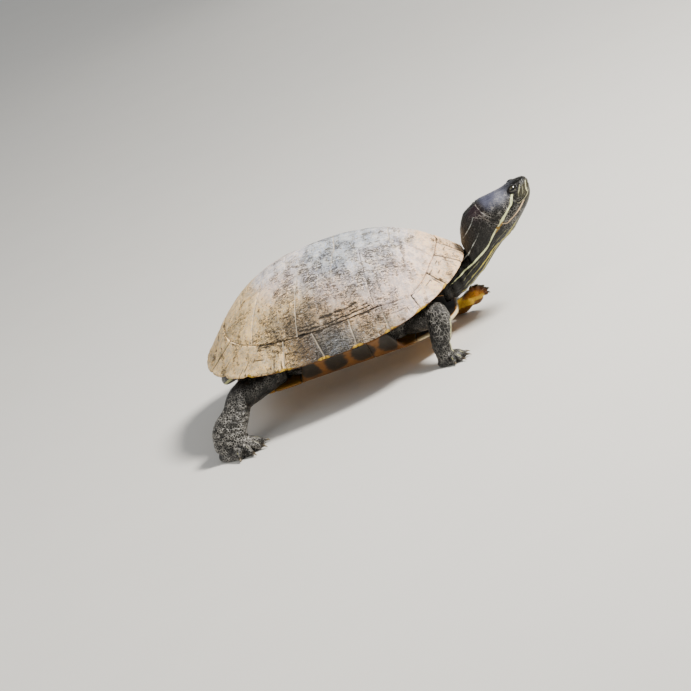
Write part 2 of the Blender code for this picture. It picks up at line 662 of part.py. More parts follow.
def limbs(trunk_cutter):
    """Three standing legs on their feet, and the left foreleg held up with its palm turned in."""
    floor_up = (-math.sin(PITCH), 0.0, math.cos(PITCH))
    standing = (("right_foreleg", RIGHT_FORELEG, FORE_FOOT, (73.5, -69.0), -8.0),
                ("right_hind_leg", RIGHT_HIND_LEG, HIND_FOOT, (-104.0, -79.0), -22.0),
                ("left_hind_leg", LEFT_HIND_LEG, HIND_FOOT, (-54.0, 81.0), 22.0))
    for name, route, foot, (x, y), heading in standing:
        forward = (math.cos(math.radians(heading)), math.sin(math.radians(heading)), 0.0)
        frame = frame_matrix((x, y, floor_height(x)), forward, floor_up)
        leg(name, route, foot, frame, trunk_cutter, ANKLE_HEIGHT)
    reach = Vector(LEFT_FORELEG[-1][:3]) - Vector(LEFT_FORELEG[-2][:3])
    palm = frame_matrix(Vector(LEFT_FORELEG[-1][:3]) + Vector((1.0, -1.6, -2.2)), reach, (0.20, 0.80, 0.50))
    leg("left_foreleg", LEFT_FORELEG, RAISED_FOOT, palm, trunk_cutter, 9.0, -reach)


def flesh():
    """Trunk, neck, head, legs and tail."""
    add_object("trunk", trunk_mesh(0.0), LOOKS["skin"])
    trunk_cutter = add_object("trunk_clearance", trunk_mesh(2 * GAP), None, cutter=True)
    neck = head_and_neck()
    apply_boolean(neck, trunk_cutter, "DIFFERENCE")
    limbs(trunk_cutter)
    tail = add_object("tail", loft(limb_rings(TAIL, 12, 8)), LOOKS["skin"])
    apply_boolean(tail, trunk_cutter, "DIFFERENCE")


# ---------------------------------------------------------------- assembly

def stand_on_floor():
    """Pitches the animal, sets its soles on z = 0 and its footprint's middle on the origin."""
    ROOT.rotation_euler = (0.0, PITCH, 0.0)
    ROOT.location = (0.0, 0.0, -floor_height(0.0) * math.cos(PITCH) * METRES)
    bpy.context.view_layer.update()
    graph = bpy.context.evaluated_depsgraph_get()
    corners = []
    for obj in (item for item in PARTS.objects if item.type == "MESH"):
        evaluated = obj.evaluated_get(graph)
        corners += [obj.matrix_world @ vertex.co for vertex in evaluated.data.vertices]
    for axis in (0, 1):
        values = [corner[axis] for corner in corners]
        ROOT.location[axis] = -0.5 * (min(values) + max(values))


for existing in list(bpy.data.objects):
    bpy.data.objects.remove(existing, do_unlink=True)
PARTS = bpy.data.collections.new("red_eared_slider")
CUTTERS = bpy.data.collections.new("cutters")
for collection in (PARTS, CUTTERS):
    bpy.context.scene.collection.children.link(collection)
ROOT = bpy.data.objects.new("turtle", None)
PARTS.objects.link(ROOT)
LOOKS = {
    "carapace": material("carapace", "A8998A", 0.55),
    "plastron": material("plastron", "B08A3C", 0.5),
    "skin": material("skin", "2C2920", 0.5),
    "eye": material("eye", "14130C", 0.08),
}

vertebral_scutes()
pleural_scutes()
rim_scutes()
plastron()
flesh()
stand_on_floor()
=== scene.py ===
"""Red-eared slider turtle, life size, basking with its neck stretched and one forelimb lifted.

Shapes are worked out in millimetres in the shell frame (x forward, y to the turtle's left, z up from
the belly shell, origin under the middle of the shell), the frame in which the solids were drawn, and
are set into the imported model's frame by to_frame().
"""
import math

import bmesh
import bpy
import numpy as np
from bpy.props import FloatProperty, FloatVectorProperty, IntProperty, PointerProperty
from bpy.types import Operator, Panel, PropertyGroup
from mathutils import Matrix, Vector, noise


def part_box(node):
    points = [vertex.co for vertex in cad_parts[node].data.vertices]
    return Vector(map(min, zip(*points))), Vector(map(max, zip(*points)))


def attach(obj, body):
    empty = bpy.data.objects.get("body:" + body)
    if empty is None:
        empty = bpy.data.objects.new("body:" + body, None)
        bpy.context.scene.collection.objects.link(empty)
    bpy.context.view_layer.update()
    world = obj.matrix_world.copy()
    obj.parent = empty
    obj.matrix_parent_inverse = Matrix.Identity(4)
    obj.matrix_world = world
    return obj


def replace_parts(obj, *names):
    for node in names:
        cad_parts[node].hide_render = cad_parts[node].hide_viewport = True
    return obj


bl_info = {
    "name": "Basking slider turtle",
    "version": (1, 0, 0),
    "blender": (4, 5, 0),
    "location": "View3D > Sidebar > Turtle",
    "description": "Builds the plates, skin, eyes and claws of a life-size pond turtle on its packed solids",
    "category": "Mesh",
}

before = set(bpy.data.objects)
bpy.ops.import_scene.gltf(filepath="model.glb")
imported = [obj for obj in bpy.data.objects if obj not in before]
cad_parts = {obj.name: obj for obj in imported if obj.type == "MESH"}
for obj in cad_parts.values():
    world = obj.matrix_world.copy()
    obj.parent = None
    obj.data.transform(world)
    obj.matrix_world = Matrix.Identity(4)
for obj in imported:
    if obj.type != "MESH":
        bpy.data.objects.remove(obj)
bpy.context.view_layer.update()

MM = 0.001
PITCH = math.radians(2.6)
SIDES = ((-1, "right"), (1, "left"))

# Carapace, the same form as its solids
HALF_LENGTH, HALF_WIDTH, SHELL_HEIGHT = 110.0, 82.0, 87.4
OUTLINE_POWER, FRONT_ROUNDING, TAPER = 2.5, 0.4, 0.03
DOME_CENTRE, DOME_POWER, DOME_EDGE_POWER = 7.0, 2.83, 1.07
RIM_SIDE, RIM_FRONT, RIM_REAR, RIM_RISE_POWER = 28.0, 45.5, 32.0, 2.2
PLATE_THICKNESS, RIM_THICKNESS = 2.8, 2.4
VERTEBRAL_SEAMS = (0.225, 0.42, 0.61, 0.81)
VERTEBRAL_WIDEST = (0.335, 0.555, 0.72)
VERTEBRAL_SEAM_HALF_WIDTH, VERTEBRAL_HALF_WIDTH = 16.5, 24.5
PLEURAL_ANGLES = (20.0, 68.0, 117.0, 141.6, 167.0)
MARGINAL_SEAMS = (
    (3.0, 5.0), (12.5, 18.0), (30.0, 32.0), (48.0, 47.5), (67.0, 65.0), (86.0, 85.5),
    (104.0, 109.0), (124.0, 125.0), (141.0, 138.0), (153.0, 148.0), (164.0, 157.0),
    (173.0, 169.0), (180.0, 180.0))
OUTLINE_SPACING = 0.9           # between the points of a plate's outline
ORDINARY_SEAM = -0.12           # tone of the seams that have none of their own: 1 is pale, -1 dark
NO_STRIPE = -3.0                # value of skin far from any stripe

# Plastron
PLASTRON_THICKNESS = 4.0
PLASTRON_ROWS = ("gular", "humeral", "pectoral", "abdominal", "femoral", "anal")
PLASTRON_SEAMS = (91.5, 70.0, 54.0, 19.0, -42.0, -64.0, -96.0)
FRONT_LOBE_START, REAR_LOBE_START = 28.0, -40.0
FRONT_LOBE_HALF_WIDTH, REAR_LOBE_HALF_WIDTH = 49.0, 45.0
BRIDGE_FRONT, BRIDGE_REAR, BRIDGE_RAMP = 44.0, -42.0, 9.0

# Head frame: s along the head, n up, both in the midplane
HEAD_ORIGIN = np.array((136.0, 0.0, 62.0))
HEAD_PITCH = math.radians(33.0)
HEAD_PROFILE = (                # (s, top, bottom, half width)
    (3.0, 16.0, -22.3, 14.8), (10.0, 14.3, -22.4, 16.0), (17.0, 10.6, -20.9, 16.0),
    (24.0, 7.2, -19.7, 14.4), (31.0, 4.6, -18.2, 12.0), (37.5, 2.4, -15.4, 10.0),
    (41.6, 0.2, -11.8, 7.4), (44.0, -1.6, -8.4, 4.8), (45.2, -3.4, -5.6, 2.0))
NECK_TOP = ((84.0, 38.0), (98.0, 40.0), (111.2, 43.6), (111.5, 52.0), (115.0, 63.5), (120.6, 71.8))
NECK_BOTTOM = ((84.0, 9.0), (98.0, 12.0), (110.5, 18.2), (122.0, 25.0), (132.0, 33.0), (141.5, 40.2))
NECK_HALF_WIDTHS = (13.0, 13.5, 14.0, 14.3, 14.5, 14.7, 14.8)
EYE_PLACE = (32.1, 6.6, -1.0)
EYE_RADIUS = 4.2
# Lines drawn on the side of the head, as (s, n)
MOUTH_LINE = ((24.0, -5.8), (27.5, -9.0), (31.5, -11.2), (37.0, -11.4), (42.0, -9.6), (46.0, -7.4))
FOLD_LINE = ((8.4, -6.5), (6.6, -3.0), (5.2, 3.0), (4.4, 9.0), (5.0, 15.0))

# Limbs: x, y, z, half size fore and aft, half size across
LIMBS = {
    "right_foreleg": (
        (54.0, -36.0, 18.0, 13.0, 12.0), (67.0, -49.0, 19.5, 12.0, 10.5), (76.5, -59.5, 20.5, 9.6, 9.0),
        (75.0, -65.0, 10.0, 8.8, 7.8), (72.0, -67.0, 0.0, 7.4, 6.8), (72.0, -68.0, -11.0, 6.8, 6.8)),
    "left_foreleg": (
        (54.0, 36.0, 18.0, 13.0, 12.0), (68.0, 49.0, 16.5, 11.5, 10.0), (79.5, 49.5, 3.0, 8.8, 8.0),
        (85.5, 40.0, -7.4, 6.8, 6.4), (92.0, 28.0, -7.8, 5.8, 6.4), (102.0, 20.3, -0.8, 4.0, 6.6)),
    "right_hind_leg": (
        (-58.0, -36.0, 16.5, 13.5, 11.5), (-77.0, -50.0, 14.5, 12.5, 11.0), (-90.0, -60.0, 11.5, 10.2, 10.0),
        (-97.0, -68.0, 3.0, 10.5, 9.0), (-105.0, -75.0, -6.0, 13.5, 9.8), (-107.0, -77.0, -19.0, 14.0, 10.5)),
    "left_hind_leg": (
        (-58.0, 36.0, 16.5, 13.5, 11.5), (-67.0, 51.0, 16.0, 12.2, 10.6), (-68.0, 64.0, 8.0, 9.8, 9.0),
        (-62.0, 71.0, -1.0, 10.0, 8.8), (-58.0, 77.0, -8.0, 11.5, 9.2), (-56.0, 79.0, -18.0, 12.0, 9.6)),
}
TAIL = (
    (-70.0, 0.0, 18.0, 7.5, 10.0), (-86.0, 2.0, 17.5, 6.5, 8.0), (-99.0, 9.0, 11.0, 5.2, 6.0),
    (-106.0, 20.0, 5.0, 4.0, 4.4), (-108.0, 32.0, 1.0, 2.6, 2.8), (-107.0, 42.0, -1.0, 1.0, 1.0))
FORE_FOOT = dict(toe=13.5, web=10.0, side=9.0, rear=9.5, height=8.0, claw=4.6, girth=2.5, spread=1.0)
RAISED_FOOT = dict(FORE_FOOT, toe=15.0, web=12.5, side=8.5, spread=0.6)
HIND_FOOT = dict(toe=22.0, web=18.5, side=14.0, rear=17.0, height=11.0, claw=5.0, girth=3.1, spread=1.0)
FEET = {"right_foreleg": FORE_FOOT, "left_foreleg": RAISED_FOOT,
        "right_hind_leg": HIND_FOOT, "left_hind_leg": HIND_FOOT}
# Feet that stand on the floor: x, y of the sole's middle, and the foot's turn from forward in degrees
FOOT_PLACES = {"right_foreleg": (73.5, -69.0, -8.0), "right_hind_leg": (-104.0, -79.0, -22.0),
               "left_hind_leg": (-54.0, 81.0, 22.0)}
TOE_ANGLES = (-62.0, -32.0, -4.0, 24.0, 52.0)
TOE_SHARES = (0.82, 0.97, 1.0, 0.98, 0.84)
FLOOR_DROP, FLOOR_STATION = 24.0, -105.0

# Camera: lens and sensor, and how far its aim is right of and above the shell frame's origin
LENS, SENSOR = 135.0, 36.0
AIM = (-5.2, 1.79)

# Stripes of the head and neck in side view: colour, then (x, z, half width) in the shell frame
SIDE_STRIPES = (
    ("EBEFB2", (
        (162.4, 77.4, 0.7), (160.1, 73.2, 0.9), (158.6, 70.2, 1.0), (155.0, 67.3, 0.9), (151.4, 64.1, 1.0),
        (147.7, 60.8, 1.2), (144.8, 57.6, 1.0), (141.3, 54.8, 0.9), (137.4, 51.6, 0.8), (133.8, 47.7, 0.5),
        (129.9, 43.9, 0.7), (124.6, 40.7, 0.9), (119.2, 38.0, 0.9), (114.1, 35.2, 0.7), (108.0, 32.8, 0.6),
        (101.2, 29.2, 0.4), (92.0, 25.0, 0.3))),
    ("8E6E26", ((147.4, 59.4, 0.8), (145.0, 57.4, 1.3), (141.6, 54.8, 1.25), (138.4, 52.2, 0.5))),
    ("DDBD93", (
        (169.6, 68.6, 0.3), (168.0, 67.6, 0.5), (164.2, 64.5, 0.5), (159.0, 61.2, 0.4), (154.2, 58.7, 0.3),
        (150.7, 57.0, 0.3), (147.2, 58.2, 0.3))),
    ("A9ADA8", (
        (127.4, 70.0, 0.2), (124.6, 66.3, 0.22), (121.8, 63.4, 0.25), (118.6, 60.4, 0.25),
        (113.8, 55.8, 0.2))),
    ("B7BBB4", (
        (127.6, 57.4, 0.2), (123.9, 53.4, 0.25), (120.2, 50.1, 0.3), (116.8, 46.7, 0.28),
        (111.8, 41.8, 0.35), (106.1, 38.1, 0.3))),
    ("A9A04E", ((160.5, 56.7, 0.25), (156.6, 53.8, 0.35), (151.6, 49.6, 0.35), (146.0, 45.8, 0.3))),
    ("8E8C66", ((149.2, 51.7, 0.2), (143.6, 48.5, 0.25), (138.7, 45.7, 0.25), (133.0, 42.0, 0.2))),
    ("C5B646", (
        (139.4, 43.0, 0.2), (133.4, 39.9, 0.55), (129.5, 36.8, 0.65), (125.1, 33.6, 0.5),
        (118.0, 29.4, 0.3), (110.0, 25.0, 0.2))),
    ("8E8C66", ((119.5, 35.1, 0.25), (114.6, 32.4, 0.3), (109.0, 29.2, 0.3), (103.0, 24.9, 0.25))),
    ("8E8C66", ((121.5, 31.0, 0.2), (114.0, 27.0, 0.3), (107.0, 22.6, 0.3), (101.0, 19.0, 0.2))),
    ("C9C49A", ((176.2, 83.4, 0.3), (174.8, 80.0, 0.4), (173.9, 76.9, 0.4), (173.9, 74.0, 0.25))),
    ("B4B28A", ((170.2, 81.0, 0.2), (168.6, 78.2, 0.35), (167.0, 75.4, 0.3), (166.4, 73.0, 0.2))),
    ("A5A283", ((172.6, 81.6, 0.15), (171.4, 78.6, 0.2), (170.6, 75.4, 0.2), (168.8, 72.6, 0.2))),
    ("B5B08C", (
        (175.0, 74.4, 0.2), (173.0, 71.6, 0.25), (170.0, 69.8, 0.25), (166.6, 68.6, 0.25),
        (163.8, 68.8, 0.2), (162.6, 72.4, 0.15))),
    ("A19B93", (
        (132.1, 77.1, 0.25), (133.1, 75.0, 0.28), (134.8, 71.8, 0.3), (138.6, 67.5, 0.28),
        (143.1, 63.4, 0.28), (146.2, 61.6, 0.2))),
    ("7E7973", (
        (129.6, 73.0, 0.15), (132.4, 70.0, 0.2), (136.4, 65.6, 0.2), (140.6, 61.0, 0.2),
        (143.4, 58.4, 0.15))),
    ("7E7973", ((131.4, 75.6, 0.15), (129.4, 70.6, 0.2), (131.4, 67.6, 0.2), (127.4, 70.0, 0.15))),
)
CHIN_STRIPES = (                # colour, then (s, y, half width) on the underside
    ("A9A04E", (
        (40.0, 0.0, 0.6), (30.0, 0.0, 0.8), (22.0, 4.0, 0.8), (8.0, 7.0, 0.7), (-20.0, 8.5, 0.7),
        (-60.0, 9.0, 0.6))),
    ("A9A04E", ((12.0, 0.0, 0.5), (-8.0, 0.0, 0.7), (-60.0, 0.0, 0.5))),
)

# Dried film over the shell, darker and more worn low on the flank partly as painted shade: its colours, then
# x, distance down from the midline, colour, share worn through
FILM_COLOURS = {"cream": "EBC79C", "tan": "F0CF96", "chalk": "D8D2D4", "blue": "BFC6D0", "rose": "E6CFC4",
                "dun": "B29C7E", "slate": "70757A", "brown": "6B5030", "dusk": "8E7C66"}
FILM_AND_SHADE = (
    (103, 12, "cream", 0.10), (95, 45, "cream", 0.20), (86, 72, "cream", 0.10), (62, 96, "rose", 0.30),
    (90, 10, "cream", 0.30), (66, 10, "chalk", 0.50), (46, 14, "blue", 0.60), (12, 16, "blue", 0.60),
    (-30, 10, "chalk", 0.40), (-80, 20, "tan", 0.20), (78, 52, "rose", 0.20), (62, 62, "rose", 0.55),
    (48, 40, "chalk", 0.75), (30, 58, "chalk", 0.50), (14, 36, "blue", 0.85), (10, 62, "rose", 0.75),
    (-12, 40, "chalk", 0.80), (-32, 36, "rose", 0.50), (-28, 56, "tan", 0.75), (-58, 44, "tan", 0.45),
    (-70, 64, "tan", 0.50), (42, 80, "rose", 0.55), (18, 82, "cream", 0.70), (-8, 78, "dun", 1.00),
    (-32, 76, "dusk", 1.15), (-50, 76, "tan", 0.85), (40, 106, "dun", 0.80), (24, 108, "dun", 0.95),
    (4, 106, "slate", 1.10), (-10, 106, "slate", 1.00), (-26, 108, "brown", 0.95), (-46, 106, "tan", 0.50),
    (-70, 96, "tan", 0.45), (-94, 76, "tan", 0.30), (-104, 44, "tan", 0.30),
)
FILM_SPREAD = 9.5


def linear_rgb(code):
    """Linear colour of an sRGB hex code."""
    channels = [int(code[i:i + 2], 16) / 255 for i in (0, 2, 4)]
    return tuple(c / 12.92 if c <= 0.04045 else ((c + 0.055) / 1.055) ** 2.4 for c in channels)


# ---------------------------------------------------------------- settings

def colour(name, description, code):
    """A colour setting with an sRGB hex default."""
    return FloatVectorProperty(name=name, description=description, subtype="COLOR", size=3, min=0.0, max=1.0,
                               default=linear_rgb(code))


class TurtleShellSettings(PropertyGroup):
    """Sizes and colours of the horn plates."""
    seam_depth: FloatProperty(name="Seam depth", description="Depth of the grooves between plates",
                              default=0.0006, unit="LENGTH", min=0.0, max=0.002)
    ring_depth: FloatProperty(name="Growth ring depth", description="Depth of the growth grooves",
                              default=0.0003, unit="LENGTH", min=0.0, max=0.001)
    rim_notch: FloatProperty(name="Rim notch", description="How far the rear rim is notched at its seams",
                             default=0.0009, unit="LENGTH", min=0.0, max=0.003)
    grime: colour("Grime", "Dirt in seams and growth grooves", "2C251B")
    horn: colour("Dark horn", "Horn where the dried film has worn off", "5B5142")
    chalk: colour("Chalk", "Crumbs of white lime on the film", "F0ECE6")
    bars: colour("Pale bars", "Pale seams and cross bars", "DDD0BC")
    belly: colour("Belly horn", "Yellow of the plastron", "C4922F")
    # Brown horn of the bridges and the rim's underside, darkened with painted shade
    bridge: colour("Bridge horn", "Stained brown horn of the bridge and the rim's underside", "6A4212")
    spots: colour("Rim spots", "Bright spots of the rim's lower edge", "D8AE38")
    blotch: colour("Belly blotches", "Dark smudges on the yellow horn", "0B0E08")


class TurtleSkinSettings(PropertyGroup):
    """Sizes and colours of the skin, eyes and claws."""
    voxel: FloatProperty(name="Skin grid", description="Grid on which each limb's forms are merged",
                         default=0.00078, unit="LENGTH", min=0.0004, max=0.003)
    wrinkle: FloatProperty(name="Wrinkle depth", description="Depth of the neck's fine wrinkles",
                           default=0.0003, unit="LENGTH", min=0.0, max=0.001)
    claw_steps: IntProperty(name="Claw steps", description="Steps along each claw", default=12, min=4, max=40)
    dark: colour("Skin", "Olive black of the skin", "0D0C09")
    stripe: colour("Stripes", "Pale yellow stripes", "D6D391")
    net: colour("Scale edges", "Grey dust between the fine scales", "B4B0A8")
    iris: colour("Iris", "Olive brown iris", "35311A")
    claw: colour("Claws", "Dark horn of the claws", "2A241C")


class TurtleStageSettings(PropertyGroup):
    """Floor, lights and camera."""
    floor_size: FloatProperty(name="Floor size", description="Side of the floor", default=14.0,
                              unit="LENGTH", min=1.0, max=40.0)
    floor: colour("Floor", "Pale studio floor", "E9E7E1")
    key_power: FloatProperty(name="Key light", description="Power of the main light", default=54.0,
                             min=0.0, max=1000.0, unit="POWER")
    fill_power: FloatProperty(name="Fill light", description="Power of the soft fill light", default=7.0,
                              min=0.0, max=1000.0, unit="POWER")
    view_width: FloatProperty(name="View width", description="Width seen at the turtle's distance",
                              default=0.5508, unit="LENGTH", min=0.05, max=5.0)
    azimuth: FloatProperty(name="Camera azimuth", unit="ROTATION", default=math.radians(-6.0),
                           description="Turn of the view from square to the right side")
    elevation: FloatProperty(name="Camera elevation", description="Height of the view",
                             default=math.radians(18.0), unit="ROTATION")
    roll: FloatProperty(name="Camera roll", description="Roll of the view", default=math.radians(22.0),
                        unit="ROTATION")


# ---------------------------------------------------------------- shared helpers

def unit(vectors):
    """The vectors, each brought to a length of 1."""
    return vectors / np.maximum(np.linalg.norm(vectors, axis=-1, keepdims=True), 1e-9)


def round_angles(count):
    """Evenly spaced angles all the way round."""
    return 2 * math.pi * np.arange(count) / count


def level_direction(degrees):
    """Level directions, turned from forward towards the left."""
    angle = np.radians(degrees)
    return np.stack([np.cos(angle), np.sin(angle), np.zeros_like(angle)], axis=-1)


def head_axes():
    """Forward and up of the head in the shell frame."""
    c, k = math.cos(HEAD_PITCH), math.sin(HEAD_PITCH)
    return np.array((c, 0.0, k)), np.array((-k, 0.0, c))


def head_point(s, y, n):
    """Points of the head frame in the shell frame."""
    forward, up = head_axes()
    s, y, n = (values[..., None] for values in np.broadcast_arrays(s, y, n))
    return HEAD_ORIGIN + s * forward + y * np.array((0.0, 1.0, 0.0)) + n * up


def head_coordinates(points):
    """(s, y, n) of shell-frame points."""
    forward, up = head_axes()
    from_origin = points - HEAD_ORIGIN
    return from_origin @ forward, from_origin[..., 1], from_origin @ up


def eye_middle(side):
    """Middle of the right (-1) or left (1) eyeball."""
    return head_point(EYE_PLACE[0], side * EYE_PLACE[1], EYE_PLACE[2])


TURN = np.array(Matrix.Rotation(PITCH, 3, "Y"))
EYE_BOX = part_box("eye_right")
PLACE = np.array(0.5 * (EYE_BOX[0] + EYE_BOX[1])) - TURN @ eye_middle(-1) * MM


def to_frame(points):
    """Shell-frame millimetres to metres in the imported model's frame."""
    return np.asarray(points) @ TURN.T * MM + PLACE


def smooth_step(value, low, high):
    """Rises from 0 at low to 1 at high, level at both ends."""
    t = np.clip((value - low) / (high - low), 0.0, 1.0)
    return t * t * (3 - 2 * t)


def mound(value, width):
    """Bell curve of a width."""
    return np.exp(-(np.asarray(value) / width) ** 2)


def oval(u, half_u, v, half_v):
    """Soft oval patch of two half sizes, 1 in its middle."""
    return mound(np.hypot(u / half_u, v / half_v), 1.0)


def blend(paint, other, share):
    """Paint with a share of another colour, or of other paint, laid over it."""
    return paint + (np.asarray(other) - paint) * np.asarray(share)[..., None]


def smooth_route(points, steps):
    """Evenly spaced shares of a smooth curve through points (Catmull-Rom)."""
    values = np.asarray(points, float)
    last = len(values) - 1
    ends = np.vstack([2 * values[0] - values[1], values, 2 * values[-1] - values[-2]])
    place = np.linspace(0.0, last, steps)
    start = np.minimum(place.astype(int), last - 1)
    t = (place - start)[:, None]
    p0, p1, p2, p3 = (ends[start + i] for i in range(4))
    return 0.5 * (2 * p1 + (p2 - p0) * t + (2 * p0 - 5 * p1 + 4 * p2 - p3) * t ** 2
                  + (3 * p1 - p0 - 3 * p2 + p3) * t ** 3)


def lengths_along(route):
    """Length of a route up to each of its points."""
    return np.concatenate([[0], np.cumsum(np.linalg.norm(np.diff(route, axis=0), axis=1))])


def cloud(points, size, seed=0.0, octaves=1):
    """Smooth noise, about -1 to 1, whose bumps are size millimetres across."""
    places = points.reshape(-1, 3) / size + 31.7 * seed
    return np.array([noise.fractal(place, 0.9, 2.0, octaves) for place in places]).reshape(points.shape[:-1])


def cells(points, size, seed):
    """Cell pattern: 0 on the edges between cells and about 1 in their middles."""
    places = points.reshape(-1, 3) / size + 17.3 * seed
    gaps = [distances[1] - distances[0] for distances, _ in map(noise.voronoi, places)]
    return np.clip(1.6 * np.array(gaps), 0.0, 1.0).reshape(points.shape[:-1])


def line_distance(points, route):
    """Distance from plan points to a line of straight runs, and the place along it (0 to 1)."""
    route = np.asarray(route, float)
    best = np.full(points.shape[:-1], np.inf)
    place = np.zeros(points.shape[:-1])
    count = len(route) - 1
    for i in range(count):
        a, d = route[i], route[i + 1] - route[i]
        t = np.clip(((points - a) @ d) / max(d @ d, 1e-9), 0.0, 1.0)
        gap = np.linalg.norm(points - (a + t[..., None] * d), axis=-1)
        near = gap < best
        best = np.where(near, gap, best)
        place = np.where(near, (i + t) / count, place)
    return best, place


class Form:
    """Points (shell frame, millimetres), faces and named values of each point."""

    def __init__(self, points, faces, **values):
        self.points = points
        self.faces = faces
        self.values = values


def quads(grid):
    """Four-sided faces between the rows of a grid of point numbers."""
    corners = (grid[:-1, :-1], grid[:-1, 1:], grid[1:, 1:], grid[1:, :-1])
    return np.stack(corners, axis=-1).reshape(-1, 4).tolist()


def tube(rings, **values):
    """A form through rings of points, with a point in the middle of each end."""
    count, sides = rings.shape[:2]
    grid = np.arange(count * sides).reshape(count, sides)
    faces = quads(np.hstack([grid, grid[:, :1]]))
    hub = count * sides
    ends = (grid[0], np.roll(grid[0], -1), grid[-1], np.roll(grid[-1], -1))
    for a, b, c, d in zip(*(end.tolist() for end in ends)):
        faces += [[b, a, hub], [c, d, hub + 1]]
    points, *parts = (np.concatenate([value.reshape((hub,) + value.shape[2:]), value[[0, -1]].mean(axis=1)])
                      for value in (rings, *values.values()))
    return Form(points, faces, **dict(zip(values, parts)))


def joined(forms):
    """Several forms, with the same values, as one."""
    faces, start = [], 0
    for form in forms:
        faces += [[index + start for index in face] for face in form.faces]
        start += len(form.points)
    values = {key: np.concatenate([form.values[key] for form in forms]) for key in forms[0].values}
    return Form(np.vstack([form.points for form in forms]), faces, **values)


def grid_normals(rings):
    """Unit normals of a closed-round grid of points, outward for a tube drawn against the clock."""
    around = np.roll(rings, -1, axis=1) - np.roll(rings, 1, axis=1)
    normal = np.cross(around, np.gradient(rings, axis=0))
    outward = np.sum(normal * (rings - rings.mean(axis=1, keepdims=True)))
    return unit(-normal if outward < 0 else normal)


def mesh_of(name, form, place=to_frame):
    """A mesh with outward faces and the form's values as point attributes."""
    mesh = bpy.data.meshes.new(name)
    mesh.from_pydata(place(form.points).tolist(), [], form.faces)
    bm = bmesh.new()
    bm.from_mesh(mesh)
    bmesh.ops.recalc_face_normals(bm, faces=bm.faces)
    bm.to_mesh(mesh)
    bm.free()
    for key, value in form.values.items():
        if value.ndim == 1:
            mesh.attributes.new(key, "FLOAT", "POINT").data.foreach_set("value", value.astype(np.float32))
        else:
            rgba = np.ones((len(value), 4), np.float32)
            rgba[:, :3] = value
            mesh.attributes.new(key, "FLOAT_COLOR", "POINT").data.foreach_set("color", rgba.ravel())
    mesh.shade_smooth()
    return mesh


def add_object(name, data):
    """An object with its data, in the scene."""
    made = bpy.data.objects.new(name, data)
    bpy.context.scene.collection.objects.link(made)
    return made


def applied(holder):
    """The mesh that an object's modifiers make. The object itself is removed."""
    bpy.context.view_layer.update()
    made = bpy.data.meshes.new_from_object(holder.evaluated_get(bpy.context.evaluated_depsgraph_get()))
    bpy.data.objects.remove(holder)
    return made


def ride_along(name, mesh):
    """A finished piece that rides on the body."""
    piece = add_object(name, mesh)
    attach(piece, "root")
    return piece


def add_piece(name, form, look, nodes):
    """A finished piece that rides on the body and stands for CAD nodes."""
    mesh = mesh_of(name, form)
    mesh.materials.append(look)
    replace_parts(ride_along(name, mesh), *nodes)


def merged(form, voxel):
    """The union of a form's closed parts as one even, softened mesh: its points, normals and faces."""
    holder = add_object("merging", mesh_of("merging", form, lambda points: points * MM))
    remesh = holder.modifiers.new("merge", "REMESH")
    remesh.mode = "VOXEL"
    remesh.voxel_size = voxel
    soften = holder.modifiers.new("soften", "SMOOTH")
    soften.factor = 0.5
    soften.iterations = 5
    made = applied(holder)
    points, normals = np.empty((2, len(made.vertices) * 3))
    made.vertices.foreach_get("co", points)
    made.vertex_normals.foreach_get("vector", normals)
    faces = [list(polygon.vertices) for polygon in made.polygons]
    return points.reshape(-1, 3) / MM, normals.reshape(-1, 3), faces


def feed(target, inputs):
    """Sets a node's inputs, named or in their order, each to a value or to the output that feeds it."""
    for key, value in inputs.items() if isinstance(inputs, dict) else enumerate(inputs):
        socket = target.inputs[key]
        if isinstance(value, bpy.types.NodeSocket):
            target.id_data.links.new(value, socket)
        else:
            socket.default_value = (*value, 1) if socket.type == "RGBA" else value


def node(tree, kind, inputs=(), output=None, **settings):
    """Adds a node with its settings and links. Gives its named output, or else the first one in use."""
    made = tree.nodes.new(kind)
    for key, value in settings.items():
        setattr(made, key, value)
    feed(made, inputs)
    return made.outputs[output] if output else next((out for out in made.outputs if out.enabled), None)


def new_material(name):
    """A material, its node tree and its shader."""
    made = bpy.data.materials.new(name)
    made.use_nodes = True
    return made, made.node_tree, made.node_tree.nodes["Principled BSDF"]


def weighted(tree, total, *terms):
    """A value with others added to it, each times its weight."""
    for value, weight in terms:
        total = node(tree, "ShaderNodeMath", (value, weight, total), operation="MULTIPLY_ADD")
    return total


def coated(tree, base, coats):
    """A colour with coats laid over it in turn. A coat is given by what drives it, the driver's range,
    how much of the coat covers at the two ends of that range, and its colour."""
    for driver, low, high, first, last, coat in coats:
        cover = node(tree, "ShaderNodeMapRange", (driver, low, high, first, last),
                     interpolation_type="SMOOTHSTEP")
        base = node(tree, "ShaderNodeMix", {0: cover, 6: base, 7: coat}, data_type="RGBA")
    return base


def repeats(size):
    """Noise scale, per metre, for features of a size in millimetres."""
    return 1000.0 / size


# ---------------------------------------------------------------- carapace form

def rim_height(x):
    """Height of the shell's edge at a station."""
    share = np.clip(x / HALF_LENGTH, -1.0, 1.0)
    return (RIM_SIDE + (RIM_FRONT - RIM_SIDE) * np.maximum(share, 0.0) ** RIM_RISE_POWER
            + (RIM_REAR - RIM_SIDE) * np.maximum(-share, 0.0) ** RIM_RISE_POWER)


def outline_power(share):
    """Exponent of the outline, which rounds off towards the front."""
    return OUTLINE_POWER - FRONT_ROUNDING * np.maximum(share, 0.0)


